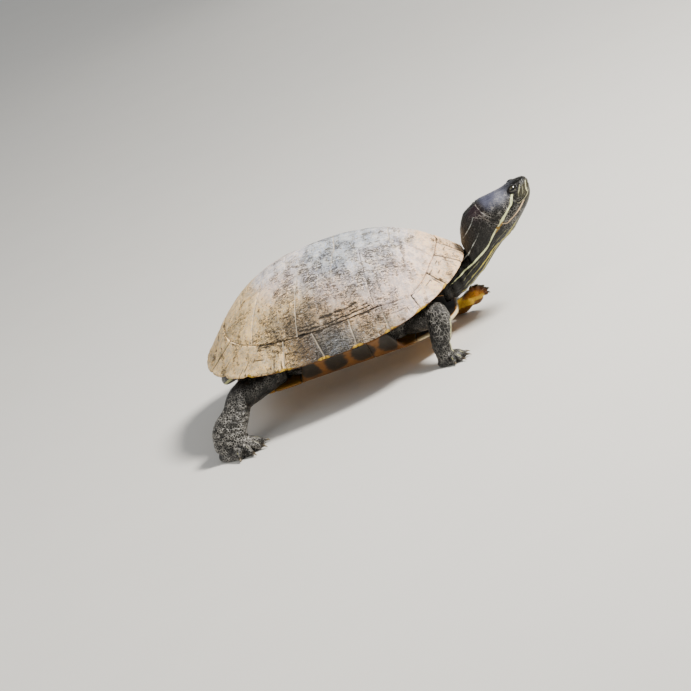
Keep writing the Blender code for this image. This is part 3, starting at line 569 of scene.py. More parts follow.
def rim_reaches():
    """Distance from the dome's middle to the rim in each of DIRECTIONS, found by halving."""
    low = np.zeros_like(DIRECTIONS)
    high = np.full_like(DIRECTIONS, 2 * HALF_LENGTH)
    for _ in range(40):
        middle = 0.5 * (low + high)
        share_x = (DOME_CENTRE + middle * np.cos(DIRECTIONS)) / HALF_LENGTH
        share_y = middle * np.sin(DIRECTIONS) / (HALF_WIDTH * (1 - TAPER * share_x))
        power = outline_power(share_x)
        inside = np.abs(share_x) ** power + np.abs(share_y) ** power < 1
        low, high = np.where(inside, middle, low), np.where(inside, high, middle)
    return low


DIRECTIONS = np.linspace(-math.pi, math.pi, 2881)
REACHES = rim_reaches()


def dome(x, y):
    """Height of the carapace above plan points."""
    direction = np.arctan2(y, x - DOME_CENTRE)
    reach = np.interp(direction, DIRECTIONS, REACHES)
    rim = rim_height(DOME_CENTRE + reach * np.cos(direction))
    share = np.minimum(np.hypot(x - DOME_CENTRE, y) / reach, 1.0)
    return rim + (SHELL_HEIGHT - rim) * (1 - share ** DOME_POWER) ** DOME_EDGE_POWER


def dome_plan(degrees, share, side):
    """Plan point at a share of the way to the rim in a direction."""
    angle = np.radians(degrees) * side
    reach = np.interp(angle, DIRECTIONS, REACHES)
    return np.stack([DOME_CENTRE + share * reach * np.cos(angle), share * reach * np.sin(angle)], axis=-1)


def on_dome(plan):
    """Points of the carapace above plan points."""
    return np.concatenate([plan, dome(plan[..., 0], plan[..., 1])[..., None]], axis=-1)


def dome_normals(plan):
    """Unit normals of the carapace above plan points."""
    x, y = plan[..., 0], plan[..., 1]
    step = 0.2
    slope_x = (dome(x + step, y) - dome(x - step, y)) / (2 * step)
    slope_y = (dome(x, y + step) - dome(x, y - step)) / (2 * step)
    return unit(np.stack([-slope_x, -slope_y, np.ones_like(x)], axis=-1))


def border_share(degrees):
    """Where the marginal plates begin, as a share of the way to the rim."""
    angle = np.abs(degrees)
    return 0.868 + 0.05 * mound(angle - 46, 16) - 0.028 * mound(angle, 20) - 0.065 * mound(180 - angle, 28)


def border_point(degrees, side):
    """Plan point where the marginal plates begin."""
    return dome_plan(degrees, border_share(degrees), side)


def station(share):
    """Place along the shell at a share of the way from front to rear."""
    return 2 * HALF_LENGTH * (0.5 - share)


def sway(plan):
    """Small wander of the seams from their straight drawn lines, the same for both plates at a seam."""
    level = np.concatenate([plan, np.zeros(plan.shape[:-1] + (1,))], axis=-1)
    return 0.55 * np.stack([cloud(level, 7.0, 61), cloud(level, 7.0, 62)], axis=-1)


def down_from_ridge(points):
    """Distance down the flank from the midline."""
    return np.hypot(points[..., 1], 1.3 * (SHELL_HEIGHT - points[..., 2]))


def film_and_shade_on(points, seed, wobble):
    """Tint and worn share of the dried film, darker and more worn low on the flank partly as painted shade,
    even across the seams but for a slight step from plate to plate.
    """
    down = down_from_ridge(points)
    total, tint, wear_and_shade = 1e-9, 0.0, 0.0
    for x, fall, kind, worn in FILM_AND_SHADE:
        weight = np.exp(-((points[..., 0] - x) ** 2 + (down - fall) ** 2) / (2 * FILM_SPREAD ** 2)) + 1e-12
        total = total + weight
        tint = tint + weight[..., None] * np.array(linear_rgb(FILM_COLOURS[kind]))
        wear_and_shade = wear_and_shade + weight * worn
    step = 1 + 0.05 * math.sin(2.4 * seed)
    tint = step * tint / total[..., None] * (1 + 0.10 * wobble[..., None])
    return tint, 0.45 * (wear_and_shade / total) + 0.10 * wobble


def flow_of(points, seed):
    """Pattern place on the dome: along the shell, down its flank, and a place of its own per plate."""
    own = np.full(points.shape[:-1], 40.0 * seed)
    return np.stack([points[..., 0], down_from_ridge(points), own], axis=-1)


# ---------------------------------------------------------------- horn materials

def weathered_horn(shell):
    """Horn (keratin) plates grown in layers and dried in the sun: a matt, chalky film of lime and dust over
    olive-brown horn. The film is broken by short curled creases and worn through in patches, and grime fills
    the seams; low on the flank its darker tint and deeper wearing are partly painted shade. Underneath, on
    the rim, the horn is smooth and brown, darkened with painted shade, and marked with dark rings."""
    look, tree, shader = new_material("weathered_horn")
    flow = node(tree, "ShaderNodeAttribute", output="Vector", attribute_name="flow")
    tint = node(tree, "ShaderNodeAttribute", output="Color", attribute_name="tint")
    place = node(tree, "ShaderNodeTexCoord", output="Object")
    seam, groove, bar, wear_and_shade, under, ocellus = (
        node(tree, "ShaderNodeAttribute", output="Fac", attribute_name=name)
        for name in ("seam", "groove", "bar", "wear_and_shade", "under", "ocellus"))

    def streaked(along, across, turn, **noise_inputs):
        """Noise drawn out to features of a length along the shell and a width down its flank, in mm."""
        squeezed = node(tree, "ShaderNodeMapping", {"Vector": flow, "Scale": (1 / along, 1 / across, 1.0),
                                                    "Rotation": (0.0, 0.0, turn)})
        return node(tree, "ShaderNodeTexNoise", {"Vector": squeezed, "Scale": 1.0, **noise_inputs})

    def creases(along, across, turn, distortion, thickness, start, end):
        """Thin curled lines, the level lines of a noise, where the film is worn by start to end."""
        noise_level = streaked(along, across, turn, Detail=2.0, Roughness=0.5, Distortion=distortion)
        level = node(tree, "ShaderNodeMath", (noise_level, -0.5), operation="ADD")
        gap = node(tree, "ShaderNodeMath", (level,), operation="ABSOLUTE")
        line = node(tree, "ShaderNodeMapRange", (gap, 0.3 * thickness, thickness, 1.0, 0.0),
                    interpolation_type="SMOOTHSTEP")
        present = node(tree, "ShaderNodeMapRange", (worn, start, end), interpolation_type="SMOOTHSTEP")
        return node(tree, "ShaderNodeMath", (line, present), operation="MULTIPLY")

    # Thicker and thinner film: clouds 20 mm across, mottling of 5 mm, crumbs of 1.1 mm
    clouds, mottle, crumbs = (
        node(tree, "ShaderNodeTexNoise", {"Vector": place, "Scale": repeats(size), "Detail": detail,
                                          "Roughness": roughness})
        for size, detail, roughness in ((20, 4.0, 0.6), (5, 4.0, 0.7), (1.1, 3.0, 0.7)))
    # Curled creases about 8 mm long, and finer ones of 4 mm, thickest in columns down the flank
    columns = streaked(7.0, 26.0, 0.0, Detail=2.0, Roughness=0.5, Distortion=0.4)
    worn = weighted(tree, wear_and_shade, (crumbs, 0.5), (mottle, 0.8), (clouds, 0.9), (columns, 0.9))
    long_creases = creases(8.5, 2.4, 0.12, 1.4, 0.075, 1.66, 1.94)
    curls = creases(3.8, 1.6, 0.0, 2.0, 0.12, 1.72, 1.98)
    crumbled = node(tree, "ShaderNodeMapRange", (crumbs, 0.48, 0.55), interpolation_type="SMOOTHSTEP")
    broken_curls = node(tree, "ShaderNodeMath", (curls, crumbled), operation="MULTIPLY")
    marks = node(tree, "ShaderNodeMath", (long_creases, broken_curls), operation="MAXIMUM")
    inked = node(tree, "ShaderNodeMath", (marks, 0.9), operation="MULTIPLY")
    streaks = streaked(1.5, 9.0, 0.0, Detail=3.0, Roughness=0.6, Distortion=0.5)
    bright = node(tree, "ShaderNodeMapRange", (mottle, 0.38, 0.58, 0.80, 1.42),
                  interpolation_type="SMOOTHSTEP")
    film = node(tree, "ShaderNodeVectorMath", {0: tint, "Scale": bright}, operation="SCALE")
    warm, cool = (node(tree, "ShaderNodeVectorMath", (film, cast), operation="MULTIPLY")
                  for cast in ((1.07, 0.97, 0.80), (0.90, 0.93, 1.04)))
    # Dark horn and grime show where the worn share is high; low on the flank that is partly painted shade
    surface = coated(tree, film, (
        (mottle, 0.40, 0.62, 0.0, 1.0, warm),
        (streaks, 0.50, 0.66, 0.0, 1.0, cool),
        (crumbs, 0.53, 0.60, 0.0, 0.55, shell.chalk),
        (worn, 1.96, 2.26, 0.0, 0.62, shell.horn),
        (worn, 2.24, 2.42, 0.0, 0.88, shell.grime)))
    surface = node(tree, "ShaderNodeMix", {0: inked, 6: surface, 7: shell.grime}, data_type="RGBA")
    # The rim's underside: brown horn darkened with painted shade, with an unevenly edged dark ring, and
    # bright spots on the edge
    below = coated(tree, shell.bridge, (
        (weighted(tree, ocellus, (clouds, 0.7)), 0.50, 0.66, 0.0, 1.0, shell.blotch),
        (ocellus, -0.75, -0.25, 1.0, 0.0, shell.spots)))
    surface = coated(tree, surface, (
        (weighted(tree, bar, (crumbs, 0.8)), 0.25, 0.85, 0.0, 0.7, shell.bars),
        (weighted(tree, seam, (crumbs, 0.6)), 0.50, 0.90, 0.0, 0.85, shell.bars),
        (weighted(tree, groove, (seam, -1.0), (crumbs, 0.5)), 0.55, 0.9, 0.0, 0.93, shell.grime),
        (weighted(tree, under, (crumbs, 0.35)), 0.58, 0.74, 0.0, 1.0, below)))
    rough = node(tree, "ShaderNodeMapRange", (worn, 1.9, 2.4, 0.66, 0.42), interpolation_type="SMOOTHSTEP")
    relief = weighted(tree, 1.0, (mottle, 0.9), (crumbs, 0.9), (marks, -0.9))
    bump = node(tree, "ShaderNodeBump", {"Height": relief, "Strength": 0.85, "Distance": 0.0009})
    feed(shader, {"Base Color": surface, "Roughness": rough, "Normal": bump, "IOR": 1.5,
                  "Specular IOR Level": 0.35})
    return look


def belly_horn(shell):
    """Smooth horn of the plastron, polished by water: warm yellow, with soft-edged black smudges."""
    look, tree, shader = new_material("yellow_belly_horn")
    place = node(tree, "ShaderNodeTexCoord", output="Object")
    tint = node(tree, "ShaderNodeAttribute", output="Color", attribute_name="tint")
    ocellus, seam = (node(tree, "ShaderNodeAttribute", output="Fac", attribute_name=name)
                     for name in ("ocellus", "seam"))
    # Clouds of 16 mm break the smudges' edges; a grain of 1.4 mm dulls the polish
    clouds = node(tree, "ShaderNodeTexNoise", {"Vector": place, "Scale": repeats(16), "Detail": 5.0,
                                               "Roughness": 0.6})
    grain = node(tree, "ShaderNodeTexNoise", {"Vector": place, "Scale": repeats(1.4), "Detail": 3.0})
    shade = node(tree, "ShaderNodeMapRange", (grain, 0.3, 0.7, 0.82, 1.08))
    horn = node(tree, "ShaderNodeVectorMath", {0: tint, "Scale": shade}, operation="SCALE")
    surface = coated(tree, horn, (
        (weighted(tree, ocellus, (clouds, 1.1)), 0.95, 1.2, 0.0, 0.93, shell.blotch),
        (weighted(tree, seam, (grain, 0.6)), 0.6, 1.2, 0.0, 0.8, shell.grime)))
    rough = node(tree, "ShaderNodeMapRange", (grain, 0.0, 1.0, 0.46, 0.62))
    bump = node(tree, "ShaderNodeBump", {"Height": grain, "Strength": 0.3, "Distance": 0.0004})
    feed(shader, {"Base Color": surface, "Roughness": rough, "Normal": bump, "IOR": 1.54,
                  "Specular IOR Level": 0.3})
    return look


# ---------------------------------------------------------------- plates

def plate_form(name, edges, centre_pull, seed, shell, bar=None):
    """One dome plate. edges is a list of (plan points, seam tone): tone 1 is pale, -1 dark."""
    outline = np.vstack([points for points, _ in edges])
    tones = np.concatenate([np.full(len(points), tone) for points, tone in edges])
    centre = outline.mean(axis=0) + np.array(centre_pull)
    shares = np.concatenate([np.linspace(0.04, 0.9, 26), 1 - np.linspace(0.09, 0.0, 12)])
    plan = centre + shares[:, None, None] * (outline - centre)
    inset = line_distance(plan, np.vstack([outline, outline[:1]]))[0]
    plan = plan + sway(plan)
    surface = on_dome(plan)
    normals = dome_normals(plan)
    wobble = cloud(surface, 9.0, seed, octaves=2)
    fine = cloud(surface, 2.2, seed + 3, octaves=2)
    groove = np.zeros_like(inset)
    reach = np.linalg.norm(outline - centre, axis=1).mean()
    for depth, strength in ((0.94, 0.45), (0.88, 0.5), (0.80, 0.5), (0.70, 0.35), (0.58, 0.3)):
        away = (shares[:, None] - depth + 0.006 * wobble) * reach
        present = smooth_step(cloud(surface, 14.0, seed + depth * 9), -0.25, 0.2)
        groove += strength * present * mound(away, 0.42)
    # A crease beside every seam, and three crisp ones along a dark seam
    groove += 0.3 * smooth_step(fine, -0.35, 0.1) * mound(inset - 1.0, 0.3)
    lines = sum(mound(inset - away + 0.3 * fine, 0.3) for away in (1.7, 3.1, 4.8))
    groove += 1.2 * (tones < -0.9) * smooth_step(wobble, -0.6, -0.1) * lines
    groove = np.clip(groove, 0, 1)
    near_seam = mound(inset, 0.42)
    keel = 0.5 * mound(plan[..., 1], 5.0) if name.startswith("vertebral") else 0.0
    lift = (0.35 * smooth_step(inset, 0.0, 9.0) + keel - shell.ring_depth / MM * groove
            - shell.seam_depth / MM * near_seam + 0.1 * fine)
    bar_value = np.full(inset.shape, -2.0)
    if bar is not None:
        away, along = line_distance(surface[..., :2], bar)
        bar_value = 0.85 - away + 0.5 * fine - 0.5 * along
    surface = surface + normals * lift[..., None]
    # Its wall goes down from the edge, and its underside closes under a ring half way to the middle
    half_way = 18
    wall = surface[-1] - normals[-1] * (PLATE_THICKNESS - 0.6)
    underside = on_dome(plan[half_way]) - normals[half_way] * PLATE_THICKNESS
    rings = np.concatenate([surface, wall[None], underside[None]])
    tint, wear_and_shade = film_and_shade_on(surface, seed, wobble)
    zero = np.zeros_like(inset)
    values = {"groove": (0.8 * groove, 0.0), "seam": (near_seam * tones, -1.0), "bar": (bar_value, -2.0),
              "tint": (tint, 0.1), "wear_and_shade": (wear_and_shade, 0.3), "under": (zero, 0.0), "ocellus": (zero, 0.0)}
    return tube(rings, flow=flow_of(rings, seed),
                **{key: np.concatenate([value, np.full((2,) + value.shape[1:], hidden)])
                   for key, (value, hidden) in values.items()})


def run(start, end):
    """Points of a straight edge, its end left out."""
    start, end = np.asarray(start, float), np.asarray(end, float)
    count = max(2, int(np.linalg.norm(end - start) / OUTLINE_SPACING))
    return start + (end - start) * (np.arange(count) / count)[:, None]


def border_run(start, end, side):
    """Points along the marginal plates' border, its end left out."""
    count = max(3, int(abs(end - start) * 1.4 / OUTLINE_SPACING))
    return border_point(start + (end - start) * np.arange(count) / count, side)


def corner(index, side):
    """Plan corner of the seam behind one of the back's plates."""
    return station(VERTEBRAL_SEAMS[index - 1]), side * VERTEBRAL_SEAM_HALF_WIDTH


def flank(index, side):
    """Plan corner where one of the back's plates is widest and a seam starts down the flank."""
    return station(VERTEBRAL_WIDEST[index - 2]), side * VERTEBRAL_HALF_WIDTH


def back_plates():
    """Edges and seam tones of the five plates along the back."""
    ordinary = ORDINARY_SEAM
    across = {1: 0.85, 2: 0.9, 3: 0.35, 4: -0.15}           # tone of the seams across the back
    front, rear = PLEURAL_ANGLES[0], PLEURAL_ANGLES[-1]
    plates = {"vertebral_1": [
        (border_run(-front, front, 1), -0.35), (run(border_point(front, 1), corner(1, 1)), ordinary),
        (run(corner(1, 1), corner(1, -1)), across[1]),
        (run(corner(1, -1), border_point(front, -1)), ordinary)]}
    for index in (2, 3, 4):
        stops = (corner(index - 1, 1), flank(index, 1), corner(index, 1), corner(index, -1),
                 flank(index, -1), corner(index - 1, -1))
        tones = (ordinary, ordinary, across[index], ordinary, ordinary, across[index - 1])
        plates[f"vertebral_{index}"] = [(run(a, b), tone)
                                        for a, b, tone in zip(stops, stops[1:] + stops[:1], tones)]
    plates["vertebral_5"] = [
        (border_point(np.linspace(rear, 180, 12, endpoint=False), 1), -0.3),
        (border_point(np.linspace(180, rear, 12, endpoint=False), -1), -0.3),
        (run(border_point(rear, -1), corner(4, -1)), ordinary), (run(corner(4, -1), corner(4, 1)), across[4]),
        (run(corner(4, 1), border_point(rear, 1)), ordinary)]
    return plates


def flank_plates(side):
    """Edges and seam tones of the four plates of one flank, with a pale bar down the first three."""
    down = {1: -0.55, 2: 0.9, 3: 0.75}                      # tone of the seams down the flank
    below = {1: -0.35, 2: -1.0, 3: -0.6, 4: 0.4}            # tone of the seam over the rim
    bar_shares = (0.55, 0.62, 0.4)
    front, rear = PLEURAL_ANGLES[0], PLEURAL_ANGLES[-1]
    starts = (border_point(front, side), flank(2, side), flank(3, side), flank(4, side))
    ends = starts[1:] + (border_point(rear, side),)
    plates = []
    for index, (start, end) in enumerate(zip(PLEURAL_ANGLES, PLEURAL_ANGLES[1:])):
        top = corner(index + 1, side)
        edges = [(run(starts[index], top), ORDINARY_SEAM), (run(top, ends[index]), ORDINARY_SEAM)]
        bar = None
        if index < 3:
            edges.append((run(ends[index], border_point(end, side)), down[index + 1]))
            target = border_point(0.5 * (start + end), side)
            bar = [top, np.asarray(top) * (1 - bar_shares[index]) + target * bar_shares[index]]
        edges.append((border_run(end, start, side), below[index + 1]))
        if index:
            edges.append((run(border_point(start, side), starts[index]), down[index]))
        plates.append((edges, bar))
    return plates


class MESH_OT_turtle_dome_plates(Operator):
    """Five plates along the back and four on each flank"""
    bl_idname = "mesh.turtle_dome_plates"
    bl_label = "Dome plates"

    def execute(self, context):
        shell = context.scene.turtle_shell
        look = weathered_horn(shell)
        plates = [(name, edges, (-3.0, 0.0), None) for name, edges in back_plates().items()]
        for side, word in SIDES:
            plates += [(f"pleural_{word}_{index}", edges, (-3.0, -side * 6.0), bar)
                       for index, (edges, bar) in enumerate(flank_plates(side), 1)]
        for seed, (name, edges, centre_pull, bar) in enumerate(plates, 1):
            form = plate_form(name, edges, centre_pull, seed, shell, bar)
            add_piece(f"{name}_plate", form, look, [name])
        return {"FINISHED"}


def rim_form(start, end, side, tones, seed, shell, spotted=False):
    """One plate of the rim: over the top, round the edge and back underneath. start and end are its seams,
    as (angle at the rim, angle at the border), and tones those of its two seams and its border."""
    columns, tops, turns, unders = 40, 22, 4, 14
    t = np.linspace(0.0, 1.0, columns)
    inset = 0.02 * (1 - 2 * t)
    rim_angle = start[0] + (end[0] - start[0]) * t + inset
    border_angle = start[1] + (end[1] - start[1]) * t + inset
    inner = border_share(border_angle) + 0.0008
    # The rear plates flare, and the rim is notched where they meet
    rearness = smooth_step(np.abs(rim_angle), 95.0, 165.0)
    scallop = shell.rim_notch / MM * rearness * (0.35 - mound(t, 0.13) - mound(1 - t, 0.13))
    rows = []
    for step in np.linspace(0.0, 1.0, tops):
        angle = border_angle + (rim_angle - border_angle) * step
        share = inner + (1 - inner) * step + scallop * step ** 3 / 90
        plan = dome_plan(angle, share, side)
        plan = plan + (1 - step) * sway(plan)
        height = dome(*dome_plan(angle, np.minimum(share, 1.0), side).T) + 1.1 * rearness * step ** 3
        rows.append(np.column_stack([plan, height]))
    edge = rows[-1]
    outward = unit((edge - (DOME_CENTRE, 0.0, 0.0)) * (1.0, 1.0, 0.0))
    for angle in np.radians((35, 70, 105, 140)):
        drop = 0.5 * RIM_THICKNESS * (1 - math.cos(angle))
        rows.append(edge + outward * 0.54 * math.sin(angle) - np.array((0, 0, drop)))
    turned = rows[-1][:, 2]
    base = rows[0][:, 2] - PLATE_THICKNESS - 0.8
    for step in np.linspace(0.06, 1.0, unders):
        angle = rim_angle + (border_angle - rim_angle) * step
        plan = dome_plan(angle, 1.0 - 0.97 * (1 - inner) * step, side)
        height = turned + 0.6 * step
        height = height + (base - height) * smooth_step(step, 0.62, 1.0) ** 2
        rows.append(np.column_stack([plan, height]))
    rings = np.array(rows)                                  # (section, column, xyz)
    count = len(rings)
    section = np.arange(count)[:, None] * np.ones(columns)
    top_share = np.clip(section / (tops - 1), 0, 1)
    under = smooth_step(section, tops + 0.5, tops + 4.5)
    wobble = cloud(rings, 8.0, seed, octaves=2)
    fine = cloud(rings, 2.0, seed + 5, octaves=2)
    from_seam = np.minimum(t, 1 - t) * np.linalg.norm(rings[0, 1:] - rings[0, :-1], axis=1).sum()
    border_gap = top_share * np.linalg.norm(rings[tops - 1] - rings[0], axis=1).mean()
    near_side = mound(from_seam, 0.5) * np.ones((count, 1))
    near_border = mound(border_gap, 0.42)
    tone = np.where(t < 0.5, tones[0], tones[1]) * near_side + tones[2] * near_border * (1 - near_side)
    # Growth grooves square up round the rear outer corner
    from_corner = np.maximum(np.abs(t - 0.62) * 1.5, 1 - top_share)
    groove = np.zeros((count, columns))
    for depth in (0.93, 0.82, 0.68, 0.5):
        present = smooth_step(cloud(rings, 10.0, seed + depth * 7), -0.1, 0.35)
        groove += present * mound((from_corner - depth + 0.03 * wobble) * 14, 0.5)
    groove += 0.6 * smooth_step(fine, -0.35, 0.1) * mound(from_seam - 1.0, 0.3)
    if tones[2] < -0.7:
        groove += smooth_step(wobble, -0.5, 0.0) * mound(border_gap - 1.6 + 0.3 * fine, 0.3)
    groove = np.clip(groove, 0, 1) * (1 - under)
    lift = (0.3 * smooth_step(from_seam, 0, 4) - shell.ring_depth / MM * groove
            - shell.seam_depth / MM * np.maximum(near_side, near_border * (1 - under)) + 0.1 * fine)
    direction = np.zeros_like(rings)
    direction[:tops] = dome_normals(rings[:tops, :, :2])
    direction[tops:tops + turns] = outward
    direction[tops + turns:, :, 2] = -0.3
    rings = rings + direction * lift[..., None]
    # Dark ring on the yellow underside, over the seam between two plates, and a bright spot on the edge
    from_ring = np.hypot(from_seam / 6.0, (section - tops - 8) / 5.0) - 0.55
    ocellus = 0.75 * mound(from_ring, 0.35) * under
    spot = spotted * mound(from_seam, 5.0) * mound(section - tops - 1.5, 3.2)
    spot = spot * smooth_step(fine + 0.5 * wobble, -0.6, -0.2)
    tint, wear_and_shade = film_and_shade_on(rings, seed, wobble)
    values = {"groove": 0.8 * groove, "seam": tone * (1 - under), "bar": np.full((count, columns), -2.0),
              "tint": tint, "wear_and_shade": wear_and_shade, "under": np.clip(under + spot, 0, 1),
              "ocellus": ocellus * (1 - spot) - spot, "flow": flow_of(rings, seed)}
    # Its two ends are closed, each round a point half way between the top and the underside
    grid = np.arange(count * columns).reshape(count, columns)
    faces = quads(np.vstack([grid, grid[:1]]))
    for hub, ends in enumerate(grid[:, [0, -1]].T.tolist(), count * columns):
        faces += [[a, b, hub] for a, b in zip(ends, ends[1:] + ends[:1])]
    hubs = 0.5 * (rings[8, [0, -1]] + rings[tops + 12, [0, -1]])
    return Form(np.vstack([rings.reshape(-1, 3), hubs]), faces,
                **{key: np.concatenate([value.reshape((-1,) + value.shape[2:]), value[[tops, tops], 0]])
                   for key, value in values.items()})


class MESH_OT_turtle_rim_plates(Operator):
    """The nuchal plate over the neck and twelve marginal plates on each side"""
    bl_idname = "mesh.turtle_rim_plates"
    bl_label = "Rim plates"

    def execute(self, context):
        shell = context.scene.turtle_shell
        look = weathered_horn(shell)
        first = MARGINAL_SEAMS[0]
        form = rim_form((-first[0], -first[1]), first, 1, (-0.8, -0.8, -0.5), 50, shell)
        add_piece("nuchal_plate", form, look, ["nuchal"])
        seams = (-0.9, -0.9, -0.8, -0.6, 0.8, 0.85, 0.8, 0.75, 0.5, 0.3, -0.9, -0.5, -0.5)
        borders = (-0.4, -0.3, 0.4, -0.5, -0.9, -1.0, -1.0, -0.8, 0.3, 0.3, -0.2, -0.3)
        for side, word in SIDES:
            ends = zip(MARGINAL_SEAMS, MARGINAL_SEAMS[1:], seams, seams[1:], borders)
            for index, (start, end, *tones) in enumerate(ends, 1):
                name = f"marginal_{word}_{index}"
                seed = 50 + index + 20 * (side > 0)
                form = rim_form(start, end, side, tones, seed, shell, 3 <= index <= 8)
                add_piece(f"{name}_plate", form, look, [name])
        return {"FINISHED"}


# ---------------------------------------------------------------- plastron

def lobe_half_width(x):
    """Half width of the plastron's flat part at a station."""
    if x > FRONT_LOBE_START:
        share = min((x - FRONT_LOBE_START) / (PLASTRON_SEAMS[0] + 1.5 - FRONT_LOBE_START), 1.0)
        return FRONT_LOBE_HALF_WIDTH * (1 - share ** 2.6) ** 0.45
    if x < REAR_LOBE_START:
        share = min((REAR_LOBE_START - x) / (REAR_LOBE_START - PLASTRON_SEAMS[-1] + 2.5), 1.0)
        return REAR_LOBE_HALF_WIDTH * (1 - share ** 2.8) ** 0.45
    share = (x - REAR_LOBE_START) / (FRONT_LOBE_START - REAR_LOBE_START)
    return REAR_LOBE_HALF_WIDTH + (FRONT_LOBE_HALF_WIDTH - REAR_LOBE_HALF_WIDTH) * share


def plastron_level(x):
    """Height of the plastron's underside, which turns up at both lobes."""
    return 4.0 * (max(x - 60.0, 0.0) / 39.0) ** 2 + 2.0 * (max(-60.0 - x, 0.0) / 36.0) ** 2


def plastron_section(x, count):
    """Half of the belly shell's cross-section at a station, from the midline out and back."""
    flat, level = lobe_half_width(x), plastron_level(x)
    ramp = max(0.0, min(1.0, (BRIDGE_FRONT - x) / BRIDGE_RAMP, (x - BRIDGE_REAR) / BRIDGE_RAMP))
    power = outline_power(x / HALF_LENGTH)
    rim_y = 0.955 * HALF_WIDTH * (1 - abs(x / HALF_LENGTH) ** power) ** (1 / power)
    rim_z = float(rim_height(x)) - RIM_THICKNESS - 0.9
    top, part_way = level + PLASTRON_THICKNESS, level + 0.45 * (rim_z - level)
    free = np.array([(flat, level + 1.2), (flat + 0.2, level + 2.2), (flat, level + 3.0),
                     (flat - 1.4, top - 0.2), (0.9 * flat, top), (0.85 * flat, top)])
    bridged = np.array([(flat + 2.5, level + 2.6), (0.45 * flat + 0.55 * rim_y, part_way), (rim_y, rim_z),
                        (rim_y - 4.4, rim_z), (0.5 * flat + 0.5 * rim_y - 3.2, part_way + 3.2),
                        (flat - 1.0, top)])
    half = np.vstack([[(0.0, level), (0.55 * flat, level), (0.9 * flat, level + 0.25)],
                      free + (bridged - free) * smooth_step(ramp, 0.0, 1.0),
                      [(0.55 * flat, top), (0.0, top)]])
    for _ in range(2):                                      # round its corners
        a, b = half[:-1], half[1:]
        rounded = np.stack([0.75 * a + 0.25 * b, 0.25 * a + 0.75 * b], 1).reshape(-1, 2)
        half = np.vstack([half[:1], rounded, half[-1:]])
    lengths = lengths_along(half)
    places = np.linspace(0, lengths[-1], count)
    return np.column_stack([np.interp(places, lengths, values) for values in half.T])


def plastron_form(front, rear, bridged, seed, shell):
    """One row of belly plates between two stations, with its share of the bridges."""
    front, rear = front - 0.06, rear + 0.06
    stations = np.linspace(front, rear, max(14, int((front - rear) / 1.3)))
    count = 90
    halves = np.array([plastron_section(x, count) for x in stations])
    rings = np.zeros((len(stations), 2 * count - 2, 3))
    rings[:, :, 0] = stations[:, None]
    rings[:, :count, 1:] = halves
    rings[:, count:, 1:] = halves[:, -2:0:-1] * (-1, 1)
    lower = np.zeros(rings.shape[:2])
    lower[:, :count // 2] = 1
    lower[:, -count // 2:] = 1
    x, y = rings[..., 0], np.abs(rings[..., 1])
    away = np.minimum(front - x, x - rear)
    wobble = cloud(rings, 7.0, seed, octaves=2)
    seam = np.maximum(mound(away, 0.6), mound(y, 0.6))
    growth = sum(0.5 * mound(np.minimum(away, y) - depth + 0.5 * wobble, 0.35) for depth in (2.2, 4.5, 7.5))
    rings = rings - grid_normals(rings) * (lower * (0.45 * seam + 0.12 * growth))[..., None]
    middle, spread = 0.5 * (front + rear), 0.3 * (front - rear)
    ocellus = 0.8 * oval(x - middle, spread, y - 0.5 * lobe_half_width(middle), 13.0)
    if bridged:
        for place in (36.0, 14.0, -9.0, -31.0):             # four dark blotches on each bridge
            ocellus = np.maximum(ocellus, 1.15 * oval(x - place, 10.0, y - 67.0, 14.0))
    # Yellow below, brown up the bridges, that brown darkened with painted shade; the front lobe has a cream
    # lip round the dark skin on top of it
    ahead = smooth_step(x, 50.0, 60.0)
    flat_width = np.array([lobe_half_width(place) for place in stations])[:, None]
    lip = np.minimum(flat_width - y, 1.4 * (PLASTRON_SEAMS[0] - x))
    tint = np.tile(np.array(shell.belly), x.shape + (1,))
    for colour_over, share in (
            (shell.bridge, smooth_step(y, 34.0, 50.0)),
            # Painted shade: an orange-brown band just inside the cream lip, where the rounded edge turns from
            # the light
            (linear_rgb("A06A26"), ahead * (1 - smooth_step(lip, 3.0, 5.5))),
            (linear_rgb("E2CFA4"), ahead * (1 - smooth_step(lip, 0.9, 2.0))),
            (linear_rgb("1A1713"), ahead * (1 - lower) * smooth_step(lip, 2.2, 3.4))):
        tint = blend(tint, colour_over, share)
    return tube(rings, tint=tint, ocellus=ocellus, seam=0.9 * np.maximum(seam, 0.5 * growth))


class MESH_OT_turtle_plastron(Operator):
    """Six rows of paired plates under the belly, with the bridges to the rim"""
    bl_idname = "mesh.turtle_plastron"
    bl_label = "Plastron"

    def execute(self, context):
        shell = context.scene.turtle_shell
        look = belly_horn(shell)
        rows = zip(PLASTRON_ROWS, PLASTRON_SEAMS, PLASTRON_SEAMS[1:])
        for seed, (word, front, rear) in enumerate(rows, 90):
            form = plastron_form(front, rear, word in ("pectoral", "abdominal"), seed, shell)
            add_piece(f"plastron_{word}_plates", form, look, [f"plastron_{word}"])
        return {"FINISHED"}


# ---------------------------------------------------------------- skin

SKIN_NODES = ("trunk", "neck", "head", "lower_jaw", "tail", "right_foreleg", "right_forefoot", "left_foreleg",
              "left_forefoot", "right_hind_leg", "right_hind_foot", "left_hind_leg", "left_hind_foot")


